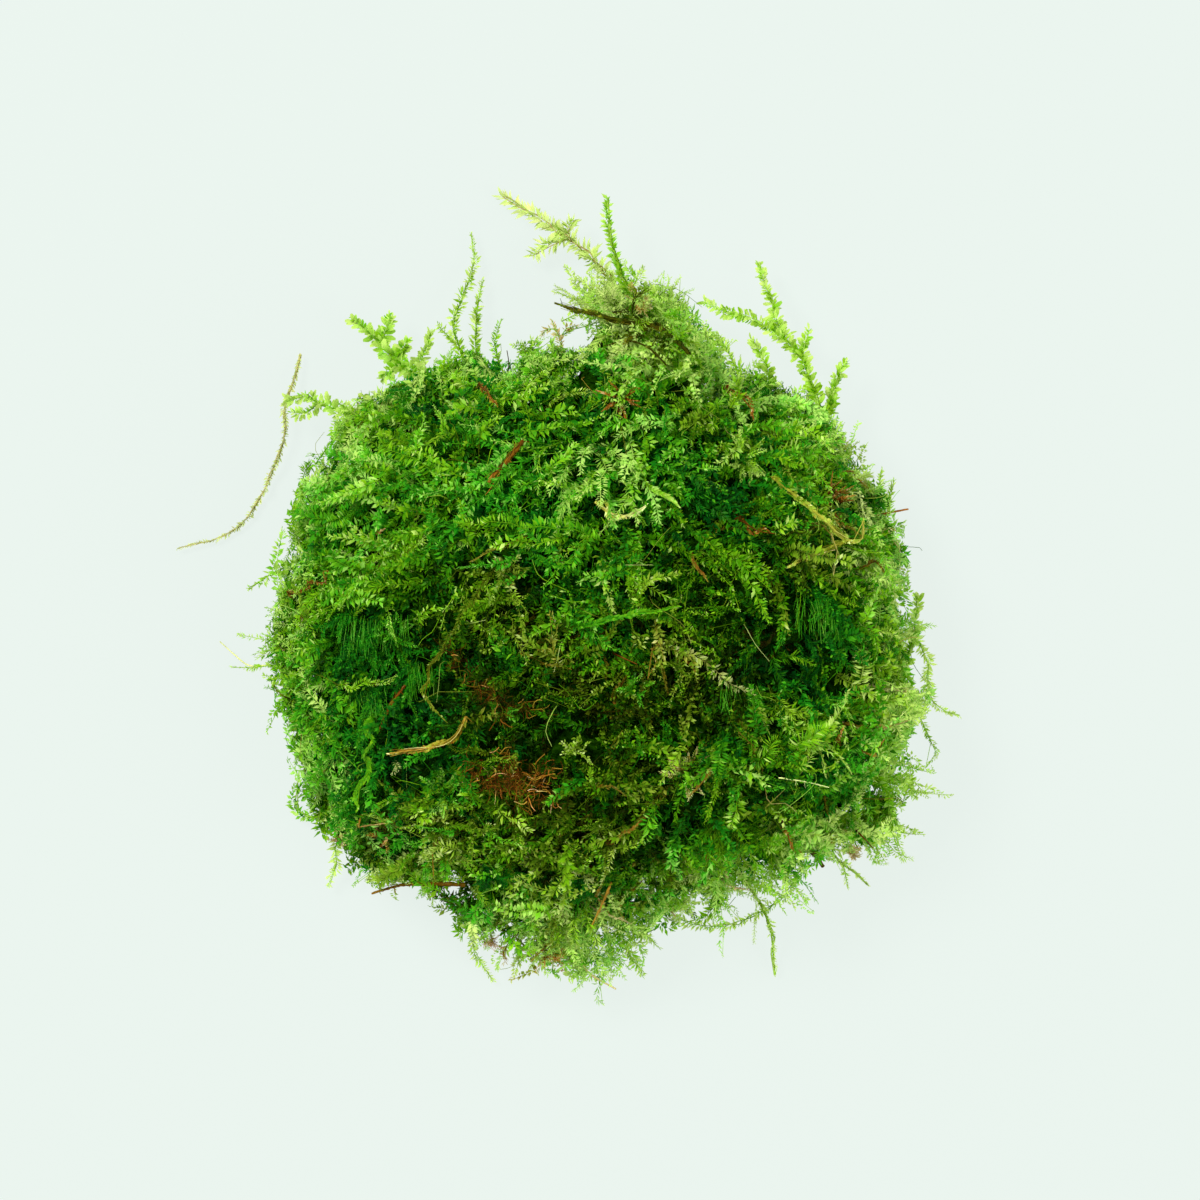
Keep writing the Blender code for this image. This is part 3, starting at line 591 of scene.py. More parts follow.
class Cushion:
    """The cushion's shoots, in pieces by region."""

    def __init__(self, surface, rim):
        self.surface, self.rim = surface, rim
        self.pieces = {name: Growth() for name in ("west", "east", "south", "north", "under")}

    def piece_for(self, point):
        """The piece whose region the point is in."""
        if point[2] < 6:
            return self.pieces["under"]
        bearing = bearing_of(point)
        if bearing < 45 or bearing >= 315:
            return self.pieces["east"]
        return self.pieces["north" if bearing < 135 else "west" if bearing < 225 else "south"]

    def gone(self, point):
        """The share of the body's shoots that is left out here: near its edge, where it is lace."""
        return lace(point) * self.rim.share(point) ** 2.5

    def felt(self):
        """The shoots that show between the locks, painted dark as their shade."""
        for point, normal in self.surface.scattered(FELT_COUNT, lambda p, n: p[:, 2] > 3):
            tone, kind, wild = tint(point)
            edge = self.rim.share(point)
            if rng.random() < self.gone(point):
                continue
            size = rng.uniform(1.05, 1.35)
            # Painted shade: the felt is darker than the moss above it, darker still in a hollow and where
            # the moss is wild, and lighter near the edge.
            hollow_shade = 1 - 0.5 * min(1.0, 2.5 * hollow(point))
            rise = rng.uniform(*FELT_RISES) * (1 - 0.5 * edge) + 0.8 * edge * min(0.0, self.rim.shift(point))
            root = point - normal * FELT_DEPTH * (1 - 0.6 * edge)
            felted(self.surface, self.piece_for(point), root, normal, any_way() + (0, 0, 0.2),
                   rng.uniform(*FELT_LENGTHS) * (1 - 0.3 * edge), 1.0, rise,
                   tone=hollow_shade * tone * (0.72 - 0.36 * wild + 0.34 * edge) + vary(0.05),
                   kind=kind + vary(0.1), roll=rng.uniform(-1, 1), bow=vary(0.12),
                   **scaled(pick_style(FELT_WILD_MIX) if rng.random() < wild else "frond", size))

    def locks(self):
        """Bundles of shoots combed more or less the same way."""
        for point, normal in self.surface.spread(LOCK_COUNT, lambda p, n: (p[:, 2] > 5) & (n[:, 2] > -0.3)):
            edge = self.rim.share(point)
            wild = tint(point)[2]
            turn = comb(point) + vary(0.3 + 0.9 * wild)
            way = level_way(turn) + outward(point) * (1.1 * edge)
            way = unit(way - normal * way.dot(normal))
            self.lock(point, normal, way, edge, wild)

    def lock(self, root, normal, heading, edge, wild):
        """One bundle. Its shoots stay clear of hollows, windows and the lacy edge."""
        across = np.cross(normal, heading)
        lock_tone, lock_kind = min(0.13, vary(0.11)), vary(0.08)
        if rng.random() < 0.4 * wild:  # one of a fresh deep green
            lock_kind -= 0.3 * wild
        lock_rise = vary(0.6)
        mix = RIM_MIX if edge > 0.4 else WILD_MIX if rng.random() < wild else INNER_MIX
        lock_style = pick_style(mix)
        for _ in range(int(rng.integers(*SHOOTS_PER_LOCK))):
            spot = root + across * vary(LOCK_WIDTH) + heading * vary(LOCK_WIDTH)
            place, facing = self.surface.nearest(spot)
            swerve = vary(0.25 + 0.4 * wild) if rng.random() < 0.85 else rng.uniform(-2, 2)
            way = heading * math.cos(swerve) + across * math.sin(swerve)
            length = rng.uniform(*LOCK_LENGTHS) * (1 - 0.25 * edge) * (1 - 0.3 * wild)
            leader = rng.random() < 0.26 - 0.16 * wild
            rise = lock_rise + rng.uniform(*(LEADER_RISES if leader else LOCK_RISES))
            length *= 1.3 if leader else 1
            tip = place + way * length
            if hollow(place + way * length * 0.6) > 0.15 or hollow(tip) > 0.15 or hollow(place) > 0.4:
                continue
            if rng.random() < 0.95 * self.gone(place):
                continue
            if in_pool(place + way * length * 0.6) or in_pool(tip):
                continue
            tone, kind, _wild = tint(place)
            edge_here = self.rim.share(place)
            # Painted light and shade: a shoot that rises higher is painted lighter, a lower one darker. Near
            # the edge the moss is paler and limier, partly as young shoots are and partly as a painted glow
            # of the lit edge.
            tone += lock_tone + vary(0.07) + 0.12 * (rise - 0.8) + 0.24 * edge_here
            kind += lock_kind + vary(0.06) + 0.4 * (LIME - 0.02 - kind) * edge_here
            kind = min(kind, OLIVE + 0.03)
            rise += (min(0.0, self.rim.shift(place)) - 2.0) * edge_here
            style = "frond" if leader else lock_style if rng.random() < 0.6 else pick_style(mix)
            if rng.random() < 0.004 + 0.03 * wild:  # a dead one
                kind, tone, style = rng.uniform(0.62, 0.78), tone + 0.02, "scaly"
            roll = vary(0.35) if rng.random() < 0.75 else rng.uniform(-1, 1)
            felted(self.surface, self.piece_for(place), place, facing, way, length,
                   rng.uniform(*LOCK_SINKS), rise, bow=vary(0.1 + 0.1 * wild), tone=tone, kind=kind,
                   roll=roll, **scaled(style, rng.uniform(0.9, 1.2) * (1.08 - 0.12 * wild)))

    def pools(self):
        """Fine deep green shoots and thin strands, hanging down in the windows."""
        for x, y, half_x, half_y in POOLS:
            for _ in range(int(POOL_SHOOTS * half_x * half_y)):
                place = under(x + half_x * rng.uniform(-1, 1), y + half_y * rng.uniform(-0.6, 1.2), TOP)
                place, facing = self.surface.nearest(place)
                way = level_way(math.radians(270) + vary(0.5))
                felted(self.surface, self.piece_for(place), place, facing, way, rng.uniform(2.5, 4.5), 1.0,
                       rng.uniform(-0.6, 0.4), tone=rng.normal(0.4, 0.07), kind=rng.normal(0.1, 0.03),
                       roll=vary(0.6), **scaled("fine", 0.9))
            for _ in range(int(POOL_STRANDS * half_x * half_y)):
                across, top = half_x * rng.uniform(-0.9, 0.9), half_y * rng.uniform(-0.1, 0.9)
                foot = top - rng.uniform(0.8, 2.4)
                ends = (x + across, y + top), (x + across + vary(0.3), y + foot)
                path = laid(self.surface, ends, rng.uniform(0.3, 0.9), 0.7)
                hair(self.piece_for(path[0]), path, rng.uniform(0.02, 0.035), rng.uniform(0.55, 0.8),
                     rng.normal(0.12, 0.05))

    def underside(self):
        """Shoots pressed against the table."""
        low = self.surface.scattered(UNDER_COUNT, lambda p, n: (p[:, 2] < 5) & (n[:, 2] < 0.2))
        for point, normal in low:
            if rng.random() < 0.8 * self.gone(point):
                continue
            way = level_way(math.atan2(point[1], point[0]) + vary(0.7))
            tone, kind, _wild = tint(point)
            felted(self.surface, self.pieces["under"], point, normal, way, rng.uniform(*UNDER_LENGTHS), 1.5,
                   rng.uniform(0, 0.4), tone=tone, kind=kind + vary(0.06), roll=vary(0.5),
                   bow=vary(0.12), **scaled("frond", 1.25))

    def make(self, material):
        for name, growth in self.pieces.items():
            growth.make(f"moss_{name}", material, "mat_moss", "moss_mat")


SPRIG_COUNT = 950
SPRIG_ROOTS = (3.0, 6.0)  # how far inside the edge their roots lie
LOWEST_TIP = 0.8

# Fans of thin shoots at the edge and on the north tuft: a root, a bearing, the spread to either side, how
# many, how long, tone and kind
SPRAYS = (
    (-30.6, -0.2, 7, 190, 25, 9, 3.8, 0.84, 0.31), (1.2, 33.8, 6.6, 142, 34, 13, 4.6, 0.98, 0.42),
    (6.2, 32.4, 9, 72, 36, 14, 4.2, 0.9, 0.32), (21.8, 18.8, 7, 42, 26, 12, 3.6, 0.78, 0.33),
    (11.6, -21.6, 4, 280, 30, 15, 4.4, 0.84, 0.26), (16.2, -18.8, 5, 300, 26, 15, 4.8, 0.82, 0.25),
    (27.4, -11.6, 4, 330, 30, 14, 4.8, 0.9, 0.28), (26.4, -17, 3.4, 318, 32, 13, 4.2, 0.9, 0.29),
    (-7.6, -27.2, 3.6, 256, 34, 10, 4.4, 0.92, 0.22), (-7.6, -27.6, 4.4, 250, 30, 8, 4.4, 0.76, 0.6),
    (-5, -28.4, 5, 268, 24, 7, 3.2, 0.74, 0.84), (3.2, -28.8, 4.6, 302, 26, 7, 3.6, 0.96, 0.24),
    (6.2, 31.4, 17.6, 60, 100, 10, 2.2, 0.77, 0.32), (3, 32, 16.6, 90, 180, 10, 2, 0.38, 0.58),
    (6.4, 30.4, 18.4, 90, 180, 7, 1.8, 0.4, 0.56), (8.8, 30, 18.2, 60, 120, 10, 2.2, 0.79, 0.3),
    (0.4, 34.6, 9, 120, 60, 10, 3, 1, 0.42), (3.4, 35.8, 8.4, 100, 70, 9, 2.6, 0.94, 0.4),
    (6.8, 34, 10.4, 80, 60, 6, 2.4, 0.86, 0.34), (-2.6, -29.4, 5.2, 268, 40, 8, 3.2, 0.98, 0.22),
    (-12.6, -22.4, 4, 235, 30, 12, 3.2, 0.56, 0.3),
)


def build_rim_sprigs(surface, rim, material):
    """Bright shoots that come out of the body and end at its edge or stick out of it, all round."""
    growth = Growth()
    edge = surface.spread(SPRIG_COUNT, lambda p, n: (p[:, 2] > 0.8) & (p[:, 2] < 15) & (n[:, 2] < 0.75))
    for point, normal in edge:
        swerve = vary(0.6)
        out = outward(point)
        across = aside(out)
        way = unit(out * math.cos(swerve) + across * math.sin(swerve) + (0, 0, rng.normal(0.02, 0.22)))
        stick_out = rng.uniform(-0.8, 1.4) + 2.4 * rng.random() ** 5 + rim.shift(point)
        start = point - way * rng.uniform(*SPRIG_ROOTS) - out * 1.0 + (0, 0, rng.uniform(-0.5, 1.0))
        end = point + way * stick_out
        middle = (start + end) / 2 + across * vary(0.8) + (0, 0, rng.uniform(0, 0.8))
        kind = tint(point)[1]
        if any(in_hole(spot) or in_pool(spot) for spot in (middle, (middle + end) / 2, end)):
            continue
        # Bright tones with paler tips at the edge: young shoots, and in part a painted glow of the lit edge.
        shoot(growth, (start, middle, end), unit(0.4 * normal + (0, 0, 1)), roll=vary(0.6),
              tone=rng.uniform(0.63, 0.96), kind=LIME - 0.07 + 0.3 * (kind - LIME) + vary(0.05),
              root_tone=-0.06, tip_tone=0.22, **scaled(pick_style(SPRIG_MIX), rng.uniform(0.8, 1.1)))
    for x, y, z, bearing, spread, count, length, tone, kind in SPRAYS:
        root = np.array((x, y, z))
        for _ in range(count):
            turn = math.radians(bearing + spread * rng.uniform(-1, 1))
            way = level_way(turn) + (0, 0, rng.normal(-0.1, 0.12))
            bend = aside(way) * vary(0.12) * length
            start = root + (*rng.normal(0, 0.9, 2), vary(0.5))
            end = start + way * length * rng.uniform(0.7, 1.25)
            end[2] = max(end[2], LOWEST_TIP)
            if tone > 0.5 and hollow((start + end) / 2) > 0.1 or in_hole(end):
                continue
            shoot(growth, (start, (start + end) / 2 + bend, end), UP, roll=vary(0.7),
                  tone=tone + vary(0.06), kind=kind + vary(0.07), tip_tone=0.16,
                  **scaled(pick_style(SPRIG_MIX), rng.uniform(0.8, 1.1)))
    growth.make("rim_sprigs", material, "pale_moss", "moss_mat")


THATCH_BASE, THATCH_INSET, THATCH_ROUGHNESS = 0.8, 2.6, 0.7


def build_thatch(surface, material):
    """The mass of old shoots under the felt, coloured near black as painted shade: the body's form, shrunk
    away from the surface.
    """
    mesh = bpy.data.meshes.new("moss_thatch")
    ball = bmesh.new()
    bmesh.ops.create_icosphere(ball, subdivisions=5, radius=1)
    ball.to_mesh(mesh)
    ball.free()
    ways = np.empty(len(mesh.vertices) * 3)
    mesh.vertices.foreach_get("co", ways)
    ways = unit(ways.reshape(-1, 3))
    x, y, z = ways.T
    reach = np.array([surface.reach(way) for way in ways])
    rough = np.sin(x * 37 + 3 * np.sin(y * 23)) * np.sin(y * 31 + 2 * np.sin(z * 29))
    see_through = np.array([lace(way) for way in ways])
    inset = (THATCH_INSET + (0.5 + 2.2 * see_through) * (1 - np.abs(z)) ** 2
             + THATCH_ROUGHNESS * rough)
    place = CENTRE + ways * (reach - inset)[:, None]
    place[:, 2] = np.maximum(place[:, 2], THATCH_BASE + 0.2 * rough)
    mesh.vertices.foreach_set("co", (place * MM).ravel())
    mesh.shade_smooth()
    add_piece("moss_thatch", mesh, material, "mat_moss", "moss_mat")


# ---------------------------------------------------------------- what stands out on the cushion

# Fronds seen from above: style, tone, kind and the way from the root to the tip
FRONDS = (
    # west
    ("bristle", 0.8, 0.31, ((-29, 18.8), (-30.4, 13.2), (-31.2, 8.8))),
    ("combs", 0.74, 0.17, ((-27.7, 9.6), (-25.2, 8.6), (-22.9, 7.7), (-20.9, 8.4))),
    ("combs", 0.74, 0.17, ((-27.8, 5.1), (-24.8, 5.3), (-21.8, 4.8))),
    ("frond", 0.72, 0.28, ((-18.7, 3), (-17.4, 3.7), (-16.2, 4))),
    ("scaly", 0.6, 0.8, ((-31.2, 5.4), (-28.3, 6.7), (-27, 7.7))),
    ("scaly", 0.78, 0.85, ((-22.7, 11.5), (-21.3, 12.1))),
    ("frond", 0.68, 0.27, ((-20, 17.4), (-23.2, 18.2), (-26.4, 17.6))),
    ("comb", 0.68, 0.27, ((-16, 17.8), (-19.4, 19.4), (-23, 20.6))),
    # lower left
    ("fine", 0.78, 0.29, ((-26.6, -3.5), (-23.8, -3.5), (-20.2, -2.8))),
    ("strap", 0.6, 0.25, ((-22.7, -6.2), (-23.2, -10.2), (-23.1, -12.2), (-23.9, -13.6), (-24.6, -15.9))),
    ("scaly", 0.52, 0.6, ((-14.8, 1), (-16.7, -1.4), (-17.5, -4.4), (-15.4, -7.1))),
    ("wisp", 0.92, 0.6, ((-20, -11.4), (-20.8, -12.2))),
    ("frond", 0.7, 0.31, ((-18.9, -15.3), (-17.8, -16.5), (-16.4, -16.7))),
    ("comb", 0.8, 0.48, ((-14, -19.6), (-16.4, -20), (-18.2, -21.2))),
    ("scaly", 0.8, 0.78, ((-21.5, -18.3), (-21.6, -19.6))),
    # top
    ("frond", 0.74, 0.28, ((-10.5, 24.8), (-7.5, 25.3), (-4.2, 26.9))),
    ("broad", 0.7, 0.26, ((-6.8, 23.4), (-3.3, 23.9), (-2.2, 23.5))),
    ("broad", 0.7, 0.26, ((-8.1, 21.5), (-3.9, 22.4))),
    ("frond", 0.7, 0.28, ((-12.5, 21), (-10.1, 23.4))),
    ("frond", 0.74, 0.25, ((-5.4, 17.3), (-2.6, 20.5))),
    ("strap", 0.8, 0.29, ((4.2, 17.2), (5.6, 15.9), (7.9, 14.3))),
    ("half_comb", 0.64, 0.26, ((1, 10.5), (-1.1, 11.6), (-7.4, 12.4), (-14.5, 12.8))),
    ("frond", 0.7, 0.3, ((-6.8, 10.8), (-11, 10.5))),
    ("fine", 0.5, 0.09, ((6.4, 25.1), (6.5, 20.8))),
    ("scaly", 0.6, 0.8, ((-12.2, 26.7), (-10.2, 24.4))),
    # top right
    ("frond", 0.8, 0.26, ((14.2, 27), (18.3, 26.3))),
    ("scaly", 0.62, 0.85, ((12, 26.3), (13.9, 25.5), (14.8, 24.4), (15.5, 22.9))),
    ("wisp", 0.74, 0.55, ((18, 18.3), (19.9, 16.7), (21.5, 14.5), (23.4, 12.9), (24.6, 11.6))),
    ("scaly", 0.5, 0.85, ((13.4, 13.8), (14.8, 12.2), (17.5, 11.8))),
    ("combs", 0.7, 0.46, ((18.3, 9.7), (21.6, 9.6), (25.2, 8.4))),
    ("frond", 0.8, 0.33, ((17.9, 12.1), (19.6, 13))),
    # centre
    ("fine", 0.5, 0.56, ((-10.5, 8.3), (-11.7, 6.5), (-13.3, 4.3), (-14.9, 1.6), (-16, -0.2), (-17, -1.8))),
    ("strap", 0.6, 0.21, ((-3.1, 2.1), (-1.1, 2.7), (0.9, 3), (3.7, 3.7), (6.1, 4.1), (8, 4.3))),
    ("frond", 0.68, 0.44, ((3.1, 5.1), (4.4, 6.4), (6.1, 7.3), (8, 7.8))),
    ("scaly", 0.62, 0.7, ((-1.1, -13.7), (1.3, -13.6), (2.8, -14.5))),
    ("frond", 0.58, 0.12, ((-1.7, -12.8), (-3.5, -13.9), (-5.4, -15.3))),
    ("wisp", 0.76, 0.15, ((-11.6, -17.9), (-9.7, -18.9), (-7.4, -19.8))),
    ("comb", 0.72, 0.16, ((5.3, -15.4), (5, -17.2), (4.5, -19.2))),
    # right
    ("wisp", 0.82, 0.15, ((22, -5.1), (23.3, -5.3), (24.6, -5.1))),
    ("stripe", 0.64, 0.27, ((14.9, -11.6), (16.4, -10.2), (17.9, -8.9))),
    ("broad", 0.86, 0.25, ((12.8, -11), (14.9, -12.6), (16.9, -13.4))),
    ("stripe", 0.66, 0.29, ((18.8, -10.5), (20.8, -8.8), (22.8, -7.3))),
    ("scaly", 0.7, 0.85, ((23.6, -9.4), (24.4, -8))),
    ("comb", 0.8, 0.27, ((14.2, -14.6), (13.4, -16.4), (12.9, -17.9))),
    ("scaly", 0.66, 0.78, ((18.1, -16.9), (19.1, -19.3), (20, -20.9))),
    # bottom
    ("combs", 0.8, 0.23, ((-4.4, -26), (-7.2, -26), (-10.2, -25.7))),
    ("frond", 0.68, 0.36, ((-3.1, -19.3), (-3.4, -21.6), (-3.4, -23.2), (-3.1, -24.6))),
    ("plume", 0.84, 0.35, ((-3, -26.4), (-2.4, -28.6), (-1.8, -30.6))),
    ("plume", 0.82, 0.35, ((-1.6, -25.8), (-0.6, -28.4), (0.6, -30.4))),
    ("wisp", 0.8, 0.55, ((1.5, -19.3), (0.7, -21.9), (0.2, -23.5))),
    ("frond", 0.66, 0.25, ((-9.7, -28.1), (-8.2, -29.2), (-6.6, -30.2))),
)

# Tufts: a place, a radius, how many shoots, style, tone and kind
TUFTS = (
    (-20.5, 1.8, 1.4, 9, "fine", 0.64, 0.13), (-7.2, 30.4, 1.4, 8, "frond", 0.8, 0.35),
    (14.5, 19.3, 2, 14, "fine", 0.8, 0.33), (3.7, -4, 1.3, 9, "fine", 0.64, 0.11),
    (-9.8, -5.9, 1.3, 8, "fine", 0.62, 0.11), (14, -4.3, 1.7, 12, "fine", 0.62, 0.13),
    (-15.5, -14.1, 1.8, 16, "fine", 0.76, 0.17), (-1.5, -22.4, 1.1, 8, "wisp", 0.88, 0.58),
    (24.4, -14.5, 1.6, 11, "fine", 0.6, 0.11), (19.5, -18, 1.4, 9, "fine", 0.58, 0.1),
    (2, 25.2, 1.7, 10, "scaly", 0.6, 0.84), (24, 19.9, 1.1, 12, "mossy", 0.7, 0.72),
    (22.7, 14.9, 2.1, 13, "scaly", 0.6, 0.8), (9, -12.6, 2, 16, "fine", 0.78, 0.66),
    (-5.3, -30.1, 1.7, 14, "wisp", 0.66, 0.8), (-11.1, -29, 1.1, 6, "wisp", 0.82, 0.82),
    (-26.2, -19.1, 0.8, 5, "wisp", 0.8, 0.85), (25.2, -20.1, 0.7, 5, "frond", 0.97, 0.76),
    (-21.2, -18.3, 1.7, 11, "fine", 0.62, 0.8), (3.8, 34.9, 1.4, 9, "fine", 0.76, 0.74),
    (4.6, 31.6, 1.6, 12, "wild", 0.78, 0.44), (8.2, 30.2, 1.6, 12, "wild", 0.76, 0.26),
    (1.2, 34.6, 1.4, 12, "plume", 0.94, 0.48), (6.8, 33.6, 1.4, 12, "plume", 0.9, 0.33),
    (-9, 7.6, 1.5, 9, "frond", 0.62, 0.55), (-2.5, -9.9, 1.2, 8, "mossy", 0.66, 0.46),
)

# Hairs: radius, tone, kind and the way
HAIRS = (
    (0.1, 0.3, 0.8, ((-9.5, 26.7), (-9.1, 28.3), (-9.3, 29.9))),
    (0.05, 0.85, 0.6, ((-13.3, 2.6), (-11.4, 3))),
    (0.05, 0.85, 0.6, ((2, 8.5), (5.3, 8.5))),
    (0.05, 0.85, 0.6, ((-3.8, 1.1), (-4.2, -0.6), (-4.6, -2.2))),
    (0.12, 0.5, 0.9, ((1.3, -0.3), (3.7, -1.4))),
    (0.05, 0.85, 0.6, ((14.4, 2.6), (15.5, 0.6), (16.9, -1.1))),
    (0.12, 0.45, 0.85, ((25.6, -18), (26.4, -18.8), (27.2, -19.7))),
    (0.09, 0.5, 0.75, ((-31, -4.9), (-31.9, -4.4), (-32.6, -3.5))),
)
HAIR_RISE, FROND_RISE = 2.0, 2.4  # above the body
STRAY_HAIRS = 110
FROND_SIZE = 1.15


def build_features(surface, material):
    """Fronds, tufts and hairs in the places where they catch the eye."""
    growth = Growth()
    for style, tone, kind, points in FRONDS:
        path = laid(surface, points, FROND_RISE)
        shoot(growth, path, UP, tone=tone - 0.04, kind=kind, root_tone=-0.08, roll=vary(0.3),
              stem_tone=tone - 0.1, **scaled(style, FROND_SIZE))
    for x, y, radius, count, style, tone, kind in TUFTS:
        middle = seen_on(surface, x, y)
        if middle is None:  # beside the body
            middle = under(x, y, 3.0)
        for _ in range(count):
            way = any_way()
            root = middle + way * rng.uniform(0, 0.5) * radius - (0, 0, 1.2)
            tip = middle + way * radius * rng.uniform(0.8, 1.5) + (0, 0, rng.uniform(0.4, 1.8))
            shoot(growth, (root, (root + tip) / 2 + (0, 0, 0.9), tip), UP, roll=vary(0.6),
                  tone=tone + vary(0.05), kind=kind + vary(0.03), **scaled(style, 0.9))
    for radius, tone, kind, points in HAIRS:
        hair(growth, laid(surface, points, HAIR_RISE, 0.8), radius, tone, kind)
    for point, normal in surface.scattered(STRAY_HAIRS, lambda p, n: n[:, 2] > 0.6):
        way = unit(any_way() + 0.4 * outward(point))
        across = np.cross(normal, way)
        length = rng.uniform(2, 6)
        spots = [point - normal * 0.6]
        bend = vary(0.5)
        for share in (0.35, 0.7, 1.0):
            spot, facing = surface.nearest(point + (way * share + across * bend * share**2) * length)
            spots.append(spot + facing * rng.uniform(0.6, 2.0))
        hair(growth, spots, rng.uniform(0.035, 0.06), rng.uniform(0.35, 0.85), rng.uniform(0.1, 0.75))
    growth.make("standing_out", material, "green_moss", "moss_mat")


# ---------------------------------------------------------------- stray shoots

